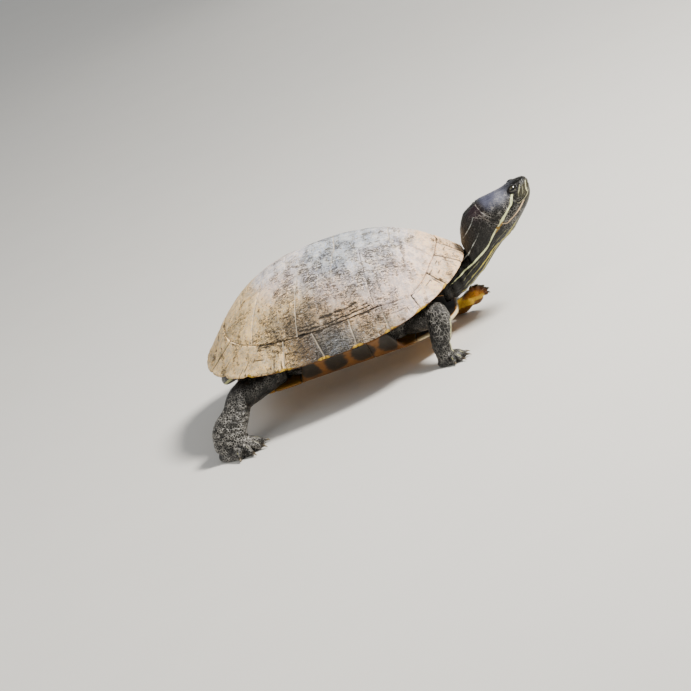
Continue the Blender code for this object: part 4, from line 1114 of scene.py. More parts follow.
def reptile_skin(skin):
    """Living turtle skin: fine scaly hide, nearly black, with a dull wet gloss, pale dust between the
    scales and pale yellow stripes of pigment whose edges are crisp."""
    look, tree, shader = new_material("scaly_skin")
    place = node(tree, "ShaderNodeTexCoord", output="Object")
    paint, ink = (node(tree, "ShaderNodeAttribute", output="Color", attribute_name=name)
                  for name in ("paint", "ink"))
    stripe, net, scale = (node(tree, "ShaderNodeAttribute", output="Fac", attribute_name=name)
                          for name in ("stripe", "net", "scale"))
    warp = node(tree, "ShaderNodeTexNoise", {"Vector": place, "Scale": repeats(5), "Detail": 2.0},
                output="Color")
    bent = node(tree, "ShaderNodeVectorMath", (warp, (0.0016, 0.0016, 0.0016), place),
                operation="MULTIPLY_ADD")
    longer = node(tree, "ShaderNodeVectorMath", (bent, (1.0, 1.0, 0.62)), operation="MULTIPLY")
    # Granular scales 1.7 mm across, and rounded ones of 2.6 mm where the hide has them
    granules, shields = (
        node(tree, "ShaderNodeTexVoronoi", {"Vector": vector, "Scale": repeats(size)}, output="Distance",
             feature="DISTANCE_TO_EDGE")
        for vector, size in ((bent, 1.7), (longer, 2.6)))
    tone = node(tree, "ShaderNodeTexNoise", {"Vector": place, "Scale": repeats(7), "Detail": 5.0,
                                             "Roughness": 0.65})
    # Pale dust rims both, more of it here than there
    edge, dusted, rims, shown = (
        node(tree, "ShaderNodeMapRange", span, interpolation_type="SMOOTHSTEP")
        for span in ((granules, 0.02, 0.11, 1.0, 0.0), (tone, 0.41, 0.57, 0.10),
                     (shields, 0.01, 0.07, 1.0, 0.0), (tone, 0.40, 0.58, 0.35)))
    dust, weight = (node(tree, "ShaderNodeMath", pair, operation="MULTIPLY")
                    for pair in ((edge, dusted), (scale, shown)))
    netted, outline = (node(tree, "ShaderNodeMath", pair, operation="MULTIPLY")
                       for pair in ((dust, net), (weight, rims)))
    shade = node(tree, "ShaderNodeMapRange", (tone, 0.3, 0.7, 0.6, 1.3))
    surface = node(tree, "ShaderNodeVectorMath", {0: paint, "Scale": shade}, operation="SCALE")
    for cover in (netted, outline):
        surface = node(tree, "ShaderNodeMix", {0: cover, 6: surface, 7: skin.net}, data_type="RGBA")
    # A stripe's value is its half width less the distance from its middle, in millimetres
    surface = coated(tree, surface, ((weighted(tree, stripe, (tone, 0.9)), 0.3, 0.62, 0.0, 1.0, ink),))
    rough = node(tree, "ShaderNodeMapRange", (tone, 0.3, 0.7, 0.26, 0.44))
    bump = node(tree, "ShaderNodeBump", {"Height": weighted(tree, granules, (outline, -1.2)),
                                         "Strength": 0.7, "Distance": 0.0008})
    feed(shader, {"Base Color": surface, "Roughness": rough, "Normal": bump, "IOR": 1.42,
                  "Specular IOR Level": 0.4})
    return look


def superellipse(angle, power):
    """Places round an oval that is squarer than an ellipse."""
    c, s = np.cos(angle), np.sin(angle)
    return np.sign(c) * np.abs(c) ** (2 / power), np.sign(s) * np.abs(s) ** (2 / power)


def plain_skin(skin, shape, net):
    """Values of dark skin without stripes or large scales."""
    paint, ink = (np.tile(np.array(code), shape + (1,)) for code in (skin.dark, skin.stripe))
    return {"paint": paint, "ink": ink, "stripe": np.full(shape, NO_STRIPE), "net": np.full(shape, net),
            "scale": np.zeros(shape)}


def draw_stripes(points, stripes, where, values):
    """Adds stripes drawn on plan points: each value is half width less distance, ink their colour."""
    steps = 60
    for seed, (code, route) in enumerate(stripes):
        line = smooth_route(route, steps)
        gap, along = line_distance(points, line[:, :2])
        half_width = np.interp(along, np.linspace(0, 1, steps), line[:, 2])
        uneven = 0.9 + 0.35 * cloud(np.stack([along * 8, gap * 0, gap * 0], axis=-1), 1.0, seed)
        new = np.where(where, half_width * uneven - gap, NO_STRIPE)
        values["ink"][new > values["stripe"]] = linear_rgb(code)
        values["stripe"] = np.maximum(values["stripe"], new)


def neck_rings(angle):
    """Rings of the neck and head before their detail, and the length along them."""
    neck_steps, head_steps = 118, 104
    crown, chin = (head_point(HEAD_PROFILE[0][0] - 0.4, 0, HEAD_PROFILE[0][row])[[0, 2]] for row in (1, 2))
    profile = smooth_route(HEAD_PROFILE, head_steps)[1:]
    top, bottom = (
        np.vstack([smooth_route([*route, last], neck_steps),
                   head_point(profile[:, 0], 0, profile[:, row])[:, [0, 2]]])
        for route, last, row in ((NECK_TOP, crown, 1), (NECK_BOTTOM, chin, 2)))
    neck_width = smooth_route(np.array(NECK_HALF_WIDTHS)[:, None], neck_steps)[:, 0]
    width = np.concatenate([neck_width, profile[:, 3]])[:, None]
    c, k = superellipse(angle, 2.25)
    middle, reach = 0.5 * (top + bottom), 0.5 * (top - bottom)
    rings = np.stack([middle[:, :1] + reach[:, :1] * k, width * c, middle[:, 1:] + reach[:, 1:] * k], axis=-1)
    return rings, lengths_along(middle)[:, None] * np.ones(len(angle))


def neck_relief(rings, angle, along, skin):
    """How far each point of the neck and head stands out from its ring, in millimetres."""
    s, y, n = head_coordinates(rings)
    near_head = smooth_step(s, 2.0, 14.0)
    # Fine wrinkles run along the stretched neck; loose folds ring it where it leaves the shell
    wrapped = np.stack(np.broadcast_arrays(along / 7.0, 7.5 * np.cos(angle), 7.5 * np.sin(angle)), axis=-1)
    wrinkle = cloud(wrapped, 1.0, 2, octaves=3)
    fold_wave = np.sin(along * 2 * math.pi / 8.5 + 2.2 * cloud(rings, 20.0, 4))
    sleeve = 1 - smooth_step(along, 20.0, 48.0)
    lift = skin.wrinkle / MM * wrinkle * (1 - 0.75 * near_head) + 0.35 * sleeve * fold_wave - 0.4 * near_head
    # The loose edge of the head's skin: a pale fold from the crown down behind the jaw
    back = s - np.interp(n, *np.array(FOLD_LINE)[:, ::-1].T)
    lift += (0.35 * mound(back + 1.1, 1.0) - 0.4 * mound(back, 0.7) + 0.2 * mound(back - 1.6, 1.2)) * (n > -9)
    lift -= 0.3 * mound(back + 4.0, 0.7) * smooth_step(-n, -14.0, 2.0)
    # Granules on cheeks and neck, smooth casque on the crown
    lift += 0.16 * (cells(rings, 1.9, 3) - 0.5) * (1 - smooth_step(n, 2.0, 8.0) * near_head)
    # Eardrum: a shallow round field behind the jaw's corner
    ear = np.hypot(s - 22.0, n + 4.0)
    lift += -0.35 * mound(ear, 3.6) + 0.3 * mound(ear - 4.6, 0.9)
    # Brow over the eye, cheek bone under it, and the chewing muscle behind
    lift += 0.5 * oval(s - 31.5, 5.0, n - 3.0, 1.4) * smooth_step(np.abs(y), 2.0, 5.5)
    lift += 0.5 * oval(s - 29.0, 6.0, n + 6.6, 1.6)
    lift += 0.8 * oval(s - 20.0, 7.0, n + 13.0, 5.0)
    # The mouth, with the upper beak's edge standing over the lower jaw
    over_mouth = n - np.interp(s, *smooth_route(MOUTH_LINE, 60).T)
    lips = (-0.95 * mound(over_mouth, 0.42) + 0.32 * mound(over_mouth - 1.1, 0.7)
            - 0.25 * mound(over_mouth + 1.5, 1.2))
    lift += smooth_step(s, 23.5, 27.0) * lips
    for side, _ in SIDES:                                   # nostrils
        lift -= 0.8 * mound(np.sqrt((s - 44.3) ** 2 + (y - 1.5 * side) ** 2 + (n + 3.2) ** 2), 0.7)
    return lift


def lidded(rings):
    """The head with its skin closed over the eyeballs, and the distance from an eye's almond opening,
    which is 1 at its edge."""
    opening = np.full(rings.shape[:2], 9.0)
    for side, _ in SIDES:
        centre = eye_middle(side)
        axis, long, tall = eye_axes(side)
        q = rings - centre
        out, u, w = q @ axis, q @ long, q @ tall
        rho = np.where(out > 0, np.hypot(u / 3.9, (w + 0.10 * u) / 1.6), 9.0)
        distance = np.linalg.norm(q, axis=-1)
        lid = smooth_step(rho, 0.86, 1.04) * (1 - smooth_step(rho, 1.12, 2.1))
        sunk = 1 - smooth_step(rho, 0.8, 0.95)
        target = distance + (EYE_RADIUS + 0.75 - distance) * lid
        target = target + (np.minimum(distance, EYE_RADIUS - 0.9) - target) * sunk
        rings = np.where((rho < 2.1)[..., None], centre + unit(q) * target[..., None], rings)
        opening = np.minimum(opening, rho)
    return rings, opening


def head_and_neck(skin):
    """One tube from inside the shell to the snout, with lids, mouth, nostrils, eardrums and folds."""
    angle = round_angles(168)
    rings, along = neck_rings(angle)
    rings = rings + grid_normals(rings) * neck_relief(rings, angle, along, skin)[..., None]
    rings, opening = lidded(rings)
    s, y, n = head_coordinates(rings)
    on_side = smooth_step(np.abs(y), 3.0, 5.5)
    values = plain_skin(skin, opening.shape, 0.0)
    draw_stripes(rings[..., [0, 2]], SIDE_STRIPES, on_side > 0.3, values)
    underneath = n < np.interp(s, [-60, 3, 48], [-12, -4, -6]) - 7.0
    draw_stripes(np.stack([s, np.abs(y)], axis=-1), CHIN_STRIPES, underneath, values)
    values["stripe"][opening < 1.6] = NO_STRIPE
    # Painted bluish sheen over the crown and a painted highlight on the temple, reddish skin behind it,
    # yellowish lips, black round the eye
    crown = smooth_step(n, 1.0, 8.0) * smooth_step(s, 6.0, 12.0)
    temple_highlight = oval(s - 22.5, 6.0, n - 3.5, 4.0) * on_side
    blush = oval(s - 1.0, 6.0, n - 13.0, 7.0) * on_side
    lips = smooth_step(s, 28.0, 36.0) * (1 - smooth_step(n, -7.0, -2.0))
    for code, share in (("4C4E60", 0.9 * crown), ("8F91A0", 0.6 * temple_highlight), ("38202C", 0.5 * blush),
                        ("4A4630", 0.5 * lips), ("0A0907", 1 - smooth_step(opening, 1.3, 1.8))):
        values["paint"] = blend(values["paint"], linear_rgb(code), share)
    net = 0.06 + 0.6 * mound(s - 17.0, 12.0) * (n < 8) + 0.3 * oval(s - 2.0, 8.0, n - 6.0, 8.0)
    values["net"] = np.clip(net, 0, 1) * (1 - 0.5 * crown) * smooth_step(opening, 1.4, 1.9)
    return tube(rings, **values)


def eye_axes(side):
    """Outward axis of an eye, and the long and upright axes of its opening."""
    forward, up = head_axes()
    axis = unit(0.22 * forward + np.array((0.0, float(side), 0.0)) + 0.2 * up)
    long = forward - 0.12 * up
    long = unit(long - axis * (long @ axis))
    return axis, long, np.cross(axis, long) * -side


def floor_height(x):
    """Height of the floor under the feet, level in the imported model's frame."""
    return -FLOOR_DROP + (x - FLOOR_STATION) * math.tan(PITCH)


def foot_frame(name):
    """Middle of the sole, and the forward, left and up axes of a foot."""
    if name == "left_foreleg":
        route = np.array(LIMBS[name])[:, :3]
        place = route[-1] + (1.0, -1.6, -2.2)
        forward = route[-1] - route[-2]
        up = unit(np.array((0.20, 0.80, 0.50)))
    else:
        x, y, degrees = FOOT_PLACES[name]
        place = np.array((x, y, floor_height(x)))
        forward = level_direction(degrees)
        up = np.array((-math.sin(PITCH), 0.0, math.cos(PITCH)))
    left = unit(np.cross(up, forward))
    return place, np.stack([np.cross(left, up), left, up])


def toe_angles(size):
    """Directions of the toes, in degrees from the foot's forward axis."""
    return [size["spread"] * degrees for degrees in TOE_ANGLES]


def toe_routes(size):
    """Each toe's middle line in the foot's frame, arched from the instep down to its tip."""
    height, girth = size["height"], size["girth"]
    levels = ((0.12, 0.72 * height), (0.42, 0.66 * height), (0.74, 0.2 * height + girth),
              (0.97, 0.82 * girth))
    return [np.array([level_direction(degrees) * (size["toe"] * share) * place + np.array((0, 0, level))
                      for place, level in levels])
            for degrees, share in zip(toe_angles(size), TOE_SHARES)]


def toe_form(route, girth):
    """A round, blunt, closed taper along a toe's route, thicker at its joints."""
    steps = 12
    centre = smooth_route(route, steps)
    girths = girth * np.array((1.15, 1.05, 1.12, 0.86, 0.8))
    radius = np.interp(np.linspace(0, 1, steps), np.linspace(0, 1, len(girths)), girths)[:, None, None]
    tangent = unit(np.gradient(centre, axis=0))
    across = unit(np.cross((0.0, 0.0, 1.0), tangent))
    over = np.cross(tangent, across)
    angle = round_angles(14)[:, None]
    rings = centre[:, None] + radius * (np.cos(angle) * across[:, None] + np.sin(angle) * over[:, None])
    tip = centre[-1] + tangent[-1] * radius[-1] * 0.7 + 0.45 * (rings[-1] - centre[-1])
    return tube(np.concatenate([rings, tip[None]]))


def foot_forms(size):
    """Palm, webs and toes of a foot in its own frame."""
    angle = round_angles(40)
    reach = np.where(np.cos(angle) < 0, size["rear"], 0.62 * size["toe"])
    palm = np.column_stack([reach * np.cos(angle), 0.92 * size["side"] * np.sin(angle)])
    palm_levels = [(level * size["height"], share) for level, share in
                   ((0.0, 0.86), (0.09, 1.0), (0.3, 1.0), (0.6, 0.84), (0.82, 0.62), (0.97, 0.3))]
    angles = toe_angles(size)
    spread = np.linspace(angles[0] - 6, angles[-1] + 6, 61)
    dip = np.minimum(np.abs(np.subtract.outer(spread, angles)).min(axis=1) / (15.0 * size["spread"]), 1.0)
    fan = (size["toe"] * np.interp(spread, angles, TOE_SHARES) * 0.93
           - (size["toe"] - size["web"]) * dip ** 0.7)
    web = np.vstack([fan[:, None] * level_direction(spread)[:, :2], [(0, 0.3)], [(0, -0.3)]])
    web_levels = ((0.15, 0.97), (0.5, 1.0), (1.2, 0.99), (1.9, 0.9), (0.33 * size["height"], 0.55))
    forms = [tube(np.array([np.column_stack([plan * share, np.full(len(plan), level)])
                            for level, share in levels]))
             for plan, levels in ((palm, palm_levels), (web, web_levels))]
    return forms + [toe_form(route, size["girth"]) for route in toe_routes(size)]


def limb_rings(route, sides, steps):
    """Rings round a limb's route, flattened by the two half sizes given with each point."""
    line = smooth_route(route, steps)
    along = unit(np.gradient(line[:, :3], axis=0))
    across = np.cross(along, (1.0, 0.0, 0.0))
    lengthways = np.linalg.norm(across, axis=1, keepdims=True) < 0.3
    across = unit(np.where(lengthways, np.cross(along, (0.0, 0.0, 1.0)), across))
    fore = np.cross(across, along)
    c, k = superellipse(round_angles(sides), 2.2)
    return (line[:, None, :3] + (c * line[:, 3:4])[..., None] * fore[:, None]
            + (k * line[:, 4:5])[..., None] * across[:, None])


def palm_paint(paint, t, local, inner, rough, points, seed):
    """The raised foot's palm, turned out: golden brown, orange in the middle, with a yellow band along one
    side and a net of fine dark lines."""
    rust = np.array(linear_rgb("5A2A12"))
    band_line = smooth_route(((-14, -6.6), (-6.8, -5.2), (-2.5, -3.2), (1.5, 0.8), (5.5, 3.2), (8, 3.6)), 30)
    band = 1 - smooth_step(line_distance(local[:, :2], band_line)[0] + 0.5 * rough, 1.3, 2.4)
    rim = smooth_step(np.hypot(local[:, 0] / 14.0, local[:, 1] / 8.6), 0.80, 0.98) * (local[:, 0] > -2)
    tone = paint
    for colour_over, share in (
            (rust, smooth_step(t, 0.50, 0.62)), (linear_rgb("8A5A16"), smooth_step(t, 0.66, 0.80)),
            (linear_rgb("D88A1C"), oval(local[:, 0] - 7.0, 6.0, local[:, 1], 4.0)),
            (rust * 0.6, 0.75 * rim), (linear_rgb("F4C63C"), 0.98 * band)):
        tone = blend(tone, colour_over, share)
    lines = 1 - smooth_step(cells(points, 3.0, seed + 6), 0.05, 0.16)
    paint = blend(paint, tone, 0.95 * inner)
    return blend(paint, rust * 0.5, 0.7 * lines * smooth_step(t, 0.7, 0.8) * inner * (1 - band))


def limb(name, skin):
    """A leg and its foot as one form, with folds, scales and its own colours."""
    fore = "fore" in name
    size = FEET[name]
    place, axes = foot_frame(name)
    feet = [Form(form.points @ axes + place, form.faces) for form in foot_forms(size)]
    points, normals, faces = merged(joined([tube(limb_rings(LIMBS[name], 32, 44)), *feet]), skin.voxel)
    local = (points - place) @ axes.T                       # forward, left, up of the foot
    line = smooth_route(LIMBS[name], 120)[:, :3]
    t = np.linalg.norm(points[:, None] - line, axis=2).argmin(axis=1) / (len(line) - 1)
    seed = 200 + len(name)
    rough = cloud(points, 5.0, seed, octaves=3)
    lift = 0.25 * rough + 0.18 * (cells(points, 1.9, seed) - 0.4)
    values = plain_skin(skin, t.shape, 0.3)
    if fore:
        # Rounded scales on the upper forearm, fewer of them down to the wrist, which is ringed with folds
        upper = smooth_step(t, 0.34, 0.42) * (1 - smooth_step(t, 0.62, 0.72))
        lower = smooth_step(t, 0.58, 0.66)
        lift += 0.3 * upper * rough + 0.22 * np.sin(t * 46.0 + 1.5 * rough) * smooth_step(t, 0.55, 0.7)
        values["scale"] = (0.9 * upper + 0.5 * lower * (1 - upper)) * smooth_step(rough, -0.7, 0.0)
    else:
        # Slack, dusty folds cross the shank and ankle, deepest on the instep, with painted shade darkening
        # their hollows
        foot_reach = np.linalg.norm(local * (0.8, 0.8, 1.6), axis=1)
        foot = 1 - smooth_step(foot_reach, 0.7 * size["toe"], 1.35 * size["toe"])
        slack = smooth_step(t, 0.45, 0.62) * (1 - smooth_step(t, 0.9, 1.05))
        turn = (points[:, 2] + 0.35 * points[:, 0]) * 2 * math.pi
        wave = np.sin(turn / 5.2 + 5.0 * cloud(points, 13.0, seed + 3))
        folds = smooth_step(wave + 0.6 * np.sin(turn / 2.3 + 4.0 * rough), 0.35, 1.3)
        lift += slack * (0.4 - 1.1 * folds)
        # Painted shade: the hollows of the folds are darkened
        paint = blend(values["paint"], 0.4 * values["paint"], slack * folds)
        values["paint"] = blend(paint, linear_rgb("2C2A27"), 0.5 * np.maximum(slack, foot))
        values["net"] = 0.3 + 0.7 * smooth_step(t, 0.4, 0.6)
    lift *= 1 - 0.7 * (local[:, 2] < 1.2)
    points = points + normals * lift[:, None]
    # A pale stripe down each toe, and down the front edge of the near forelimb
    least_along, half_width = (0.3, 0.32) if fore else (0.6, 0.15)
    height = local[:, 2] / size["height"]
    for route in toe_routes(size):
        gap, along = line_distance(local[:, :2], route[:, :2])
        drawn = (height > 0.25 * (1 - along)) & (height < 0.8) & (local[:, 2] > 1.4) & (along > least_along)
        values["stripe"] = np.maximum(values["stripe"], np.where(drawn, half_width - gap, NO_STRIPE))
    if name == "right_foreleg":
        front = smooth_route(LIMBS[name], 60)[30:56]
        edge = front[:, :3] + front[:, 3:4] * (0.97, 0.0, 0.0) - front[:, 4:5] * (0.0, 0.25, 0.0)
        gap = np.linalg.norm(points[:, None] - edge, axis=2).min(axis=1)
        values["stripe"] = np.maximum(values["stripe"], 0.9 - gap)
    if name == "left_foreleg":
        inner = smooth_step(-(normals @ np.array((0.15, 0.9, 0.35))), -0.25, 0.25)
        values["paint"] = palm_paint(values["paint"], t, local, inner, rough, points, seed)
        values["scale"] = values["scale"] * (1 - inner)
        values["net"] = values["net"] * (1 - inner)
    else:
        points[:, 2] = np.maximum(points[:, 2], floor_height(points[:, 0]) + 0.05)
    return Form(points, faces, **values)


def tail(skin):
    """The tail, ringed with fine folds and striped along each side."""
    rings = limb_rings(TAIL, 48, 90)
    shape = rings.shape[:2]
    t = np.linspace(0, 1, shape[0])[:, None] * np.ones(shape)
    wave = np.sin(t * 150.0 + 1.2 * cloud(rings, 6.0, 31))
    lift = 0.22 * wave * (1 - t) + 0.15 * (cells(rings, 1.8, 32) - 0.5)
    values = plain_skin(skin, shape, 0.5)
    from_side = np.abs(np.abs(round_angles(shape[1]) - math.pi) - 0.9)
    values["stripe"] = np.where(t < 0.35, NO_STRIPE, 0.55 - 2.5 * from_side)
    return tube(rings + grid_normals(rings) * lift[..., None], **values)


def trunk(skin):
    """The body wall between the shells, with slack skin in the leg openings."""
    columns = 180
    degrees = 360.0 * np.arange(columns) / columns
    signed = np.where(degrees <= 180, degrees, degrees - 360)
    edge = border_share(signed)
    rim = dome_plan(signed, 1.0, 1)
    rim_z = rim_height(rim[:, 0])
    floor = np.array([plastron_level(x * 0.6) for x in rim[:, 0]]) + PLASTRON_THICKNESS + 0.5
    rows = [on_dome(dome_plan(signed, share, 1)) - (0, 0, PLATE_THICKNESS + 1.4)
            for share in (0.3, 0.65, edge - 0.03)]
    rows += [np.column_stack([dome_plan(signed, share, 1), height]) for share, height in (
        (edge - 0.025, rim_z + 8.0), (edge - 0.03, rim_z + 1.0),
        (edge - 0.09, floor + 0.78 * (rim_z - floor)), (edge - 0.18, floor + 0.5 * (rim_z - floor)),
        (edge - 0.26, floor + 4.5),
        (0.57, floor + 2.0), (0.5, floor))]
    rings = smooth_route(np.array(rows).reshape(len(rows), -1), 34).reshape(-1, columns, 3)
    row = np.arange(len(rings))[:, None] * np.ones(columns)
    wall = smooth_step(row, 10, 15) * (1 - smooth_step(row, 27, 32))
    wave = np.sin(rings[..., 2] * 2 * math.pi / 6.5 + 2.5 * cloud(rings, 18.0, 41))
    values = plain_skin(skin, row.shape, 0.5)
    blush = smooth_step(cloud(rings, 14.0, 42), 0.0, 0.5)
    values["paint"] = blend(values["paint"], linear_rgb("3B2018"), 0.5 * blush)
    return tube(rings + grid_normals(rings) * (wall * (0.9 * wave - 1.0))[..., None], **values)


class MESH_OT_turtle_skin(Operator):
    """Head, neck, trunk, legs, feet and tail as one skin"""
    bl_idname = "mesh.turtle_skin"
    bl_label = "Skin"

    def execute(self, context):
        skin = context.scene.turtle_skin
        forms = [head_and_neck(skin), trunk(skin), tail(skin)] + [limb(name, skin) for name in LIMBS]
        add_piece("skin", joined(forms), reptile_skin(skin), SKIN_NODES)
        return {"FINISHED"}


# ---------------------------------------------------------------- eyes and claws

def wet_eye(skin):
    """A living eye under clear, wet cornea: dark olive brown iris crossed by a black bar, round pupil."""
    look, tree, shader = new_material("wet_eye")
    away, height = (node(tree, "ShaderNodeAttribute", output="Fac", attribute_name=name)
                    for name in ("away", "height"))
    place = node(tree, "ShaderNodeTexCoord", output="Object")
    # Fibres half a millimetre apart
    fibres = node(tree, "ShaderNodeTexNoise", {"Vector": place, "Scale": repeats(0.5), "Detail": 3.0})
    shade = node(tree, "ShaderNodeMapRange", (fibres, 0.3, 0.7, 0.55, 1.2))
    iris = node(tree, "ShaderNodeVectorMath", {0: skin.iris, "Scale": shade}, operation="SCALE")
    black = linear_rgb("0B0B09")
    # The bar along the middle, the black surround from 0.6 of the radius, and the pupil out to 0.25 of it
    surface = coated(tree, iris, ((height, 0.10, 0.2, 0.85, 0.0, black), (away, 0.60, 0.68, 0.0, 1.0, black),
                                  (away, 0.25, 0.31, 1.0, 0.0, black)))
    feed(shader, {"Base Color": surface, "Roughness": 0.12, "IOR": 1.38, "Coat Weight": 1.0,
                  "Coat Roughness": 0.03})
    return look


class MESH_OT_turtle_eyes(Operator):
    """Two eyeballs with a raised cornea"""
    bl_idname = "mesh.turtle_eyes"
    bl_label = "Eyes"

    def execute(self, context):
        look = wet_eye(context.scene.turtle_skin)
        turn = round_angles(48)[:, None]
        polar = np.linspace(0.06, math.pi - 0.06, 44)[:, None]
        radius = ((EYE_RADIUS - 0.05) * (1 + 0.035 * mound(polar, 0.55)))[..., None]
        away = np.where(polar < math.pi / 2, np.sin(polar), 1.0) * np.ones(len(turn))
        for side, word in SIDES:
            axis, long, tall = eye_axes(side)
            flat = np.cos(turn) * long + np.sin(turn) * tall
            outward = np.cos(polar)[..., None] * axis + np.sin(polar)[..., None] * flat
            rings = eye_middle(side) + radius * outward
            form = tube(rings, away=away, height=np.abs(away * np.sin(turn[:, 0])))
            add_piece(f"eyeball_{word}", form, look, [f"eye_{word}"])
        return {"FINISHED"}


def claw_horn(skin):
    """Solid keratin claw, grown in a curve: dark at the root and paler towards the worn tip."""
    look, tree, shader = new_material("claw_horn")
    place = node(tree, "ShaderNodeTexCoord", output="Object")
    tip = node(tree, "ShaderNodeAttribute", output="Fac", attribute_name="tip")
    # Growth bands 0.9 mm apart, as coarse as they need to be to show
    bands = node(tree, "ShaderNodeTexNoise", {"Vector": place, "Scale": repeats(0.9), "Detail": 3.0})
    surface = coated(tree, skin.claw, (
        (weighted(tree, tip, (bands, 0.5)), 0.6, 1.3, 0.0, 0.75, linear_rgb("9A8A6A")),))
    bump = node(tree, "ShaderNodeBump", {"Height": bands, "Strength": 0.25, "Distance": 0.0003})
    feed(shader, {"Base Color": surface, "Roughness": 0.33, "Normal": bump, "IOR": 1.54})
    return look


def claw_tree(look, steps):
    """Geometry nodes: one hooked claw, tapered along its length, on every point of the input."""
    tree = bpy.data.node_groups.new("claws", "GeometryNodeTree")
    face = tree.interface
    face.new_socket("Geometry", in_out="INPUT", socket_type="NodeSocketGeometry")
    for label, default in (("Length", 0.005), ("Root radius", 0.0013), ("Hook", 0.0016)):
        face.new_socket(label, in_out="INPUT", socket_type="NodeSocketFloat").default_value = default
    face.new_socket("Steps", in_out="INPUT", socket_type="NodeSocketInt").default_value = steps
    face.new_socket("Geometry", in_out="OUTPUT", socket_type="NodeSocketGeometry")
    given = node(tree, "NodeGroupInput").node.outputs
    half, fall, rise = (node(tree, "ShaderNodeMath", (given[label], share), operation="MULTIPLY")
                        for label, share in (("Length", 0.62), ("Hook", -1.0), ("Hook", 0.35)))
    middle = node(tree, "ShaderNodeCombineXYZ", {"X": half, "Z": rise})
    end = node(tree, "ShaderNodeCombineXYZ", {"X": given["Length"], "Z": fall})
    curve = node(tree, "GeometryNodeCurveQuadraticBezier",
                 {"Resolution": given["Steps"], "Start": (0, 0, 0), "Middle": middle, "End": end})
    along = node(tree, "GeometryNodeSplineParameter", output="Factor")
    left_over = node(tree, "ShaderNodeMath", (1.04, along), operation="SUBTRACT")
    taper = node(tree, "ShaderNodeMath", (left_over, 0.8), operation="POWER")
    radius = node(tree, "ShaderNodeMath", (taper, given["Root radius"]), operation="MULTIPLY")
    kept = node(tree, "GeometryNodeStoreNamedAttribute", {"Geometry": curve, "Name": "tip", "Value": along},
                data_type="FLOAT", domain="POINT")
    ring = node(tree, "GeometryNodeCurvePrimitiveCircle", {"Resolution": 12, "Radius": 1.0})
    horn = node(tree, "GeometryNodeCurveToMesh",
                {"Curve": kept, "Profile Curve": ring, "Scale": radius, "Fill Caps": True})
    turn = node(tree, "GeometryNodeInputNamedAttribute", {"Name": "turn"}, data_type="FLOAT_VECTOR")
    size = node(tree, "GeometryNodeInputNamedAttribute", {"Name": "size"}, data_type="FLOAT")
    rotation = node(tree, "FunctionNodeEulerToRotation", (turn,))
    placed = node(tree, "GeometryNodeInstanceOnPoints",
                  {"Points": given["Geometry"], "Instance": horn, "Rotation": rotation, "Scale": size})
    real = node(tree, "GeometryNodeRealizeInstances", {"Geometry": placed})
    smooth = node(tree, "GeometryNodeSetShadeSmooth", {"Geometry": real})
    finished = node(tree, "GeometryNodeSetMaterial", {"Geometry": smooth, "Material": look})
    node(tree, "NodeGroupOutput", {"Geometry": finished})
    return tree


class MESH_OT_turtle_claws(Operator):
    """Five claws on each foot"""
    bl_idname = "mesh.turtle_claws"
    bl_label = "Claws"

    def execute(self, context):
        skin = context.scene.turtle_skin
        tree = claw_tree(claw_horn(skin), skin.claw_steps)
        sockets = {item.name: item.identifier for item in tree.interface.items_tree if item.in_out == "INPUT"}
        for name in LIMBS:
            size = FEET[name]
            place, axes = foot_frame(name)
            roots, turns = [], []
            for route in toe_routes(size):
                direction = unit((route[-1] - route[-2]) * (1, 1, 0))
                forward, up = TURN @ (direction @ axes), TURN @ axes[2]
                facing = np.column_stack([forward, np.cross(up, forward), up])
                root = route[-1] - direction * 0.6 + np.array((0, 0, 0.25))
                roots.append(to_frame(root @ axes + place))
                turns.append(Matrix(facing.tolist()).to_euler())
            mesh = bpy.data.meshes.new("claw_roots")
            mesh.from_pydata([tuple(root) for root in roots], [], [])
            mesh.attributes.new("turn", "FLOAT_VECTOR", "POINT").data.foreach_set("vector", np.ravel(turns))
            mesh.attributes.new("size", "FLOAT", "POINT").data.foreach_set("value", np.array(TOE_SHARES))
            holder = add_object("claw_roots", mesh)
            modifier = holder.modifiers.new("claws", "NODES")
            modifier.node_group = tree
            modifier[sockets["Length"]] = (size["claw"] + (0.2 if name == "left_foreleg" else 1.2)) * MM
            modifier[sockets["Root radius"]] = 0.62 * size["girth"] * MM
            modifier[sockets["Hook"]] = 0.62 * size["girth"] * MM
            modifier[sockets["Steps"]] = skin.claw_steps
            made = applied(holder)
            made.name = f"claws_{name}"
            ride_along(f"claws_{name}", made)
        return {"FINISHED"}


# ---------------------------------------------------------------- stage

def studio_floor(stage):
    """Matt seamless paper: even and pale, with a barely visible fibre."""
    look, tree, shader = new_material("studio_paper")
    place = node(tree, "ShaderNodeTexCoord", output="Object")
    fibre = node(tree, "ShaderNodeTexNoise", {"Vector": place, "Scale": repeats(60), "Detail": 3.0})
    shade = node(tree, "ShaderNodeMapRange", (fibre, 0.0, 1.0, 0.98, 1.02))
    paper = node(tree, "ShaderNodeVectorMath", {0: stage.floor, "Scale": shade}, operation="SCALE")
    feed(shader, {"Base Color": paper, "Roughness": 0.85})
    return look


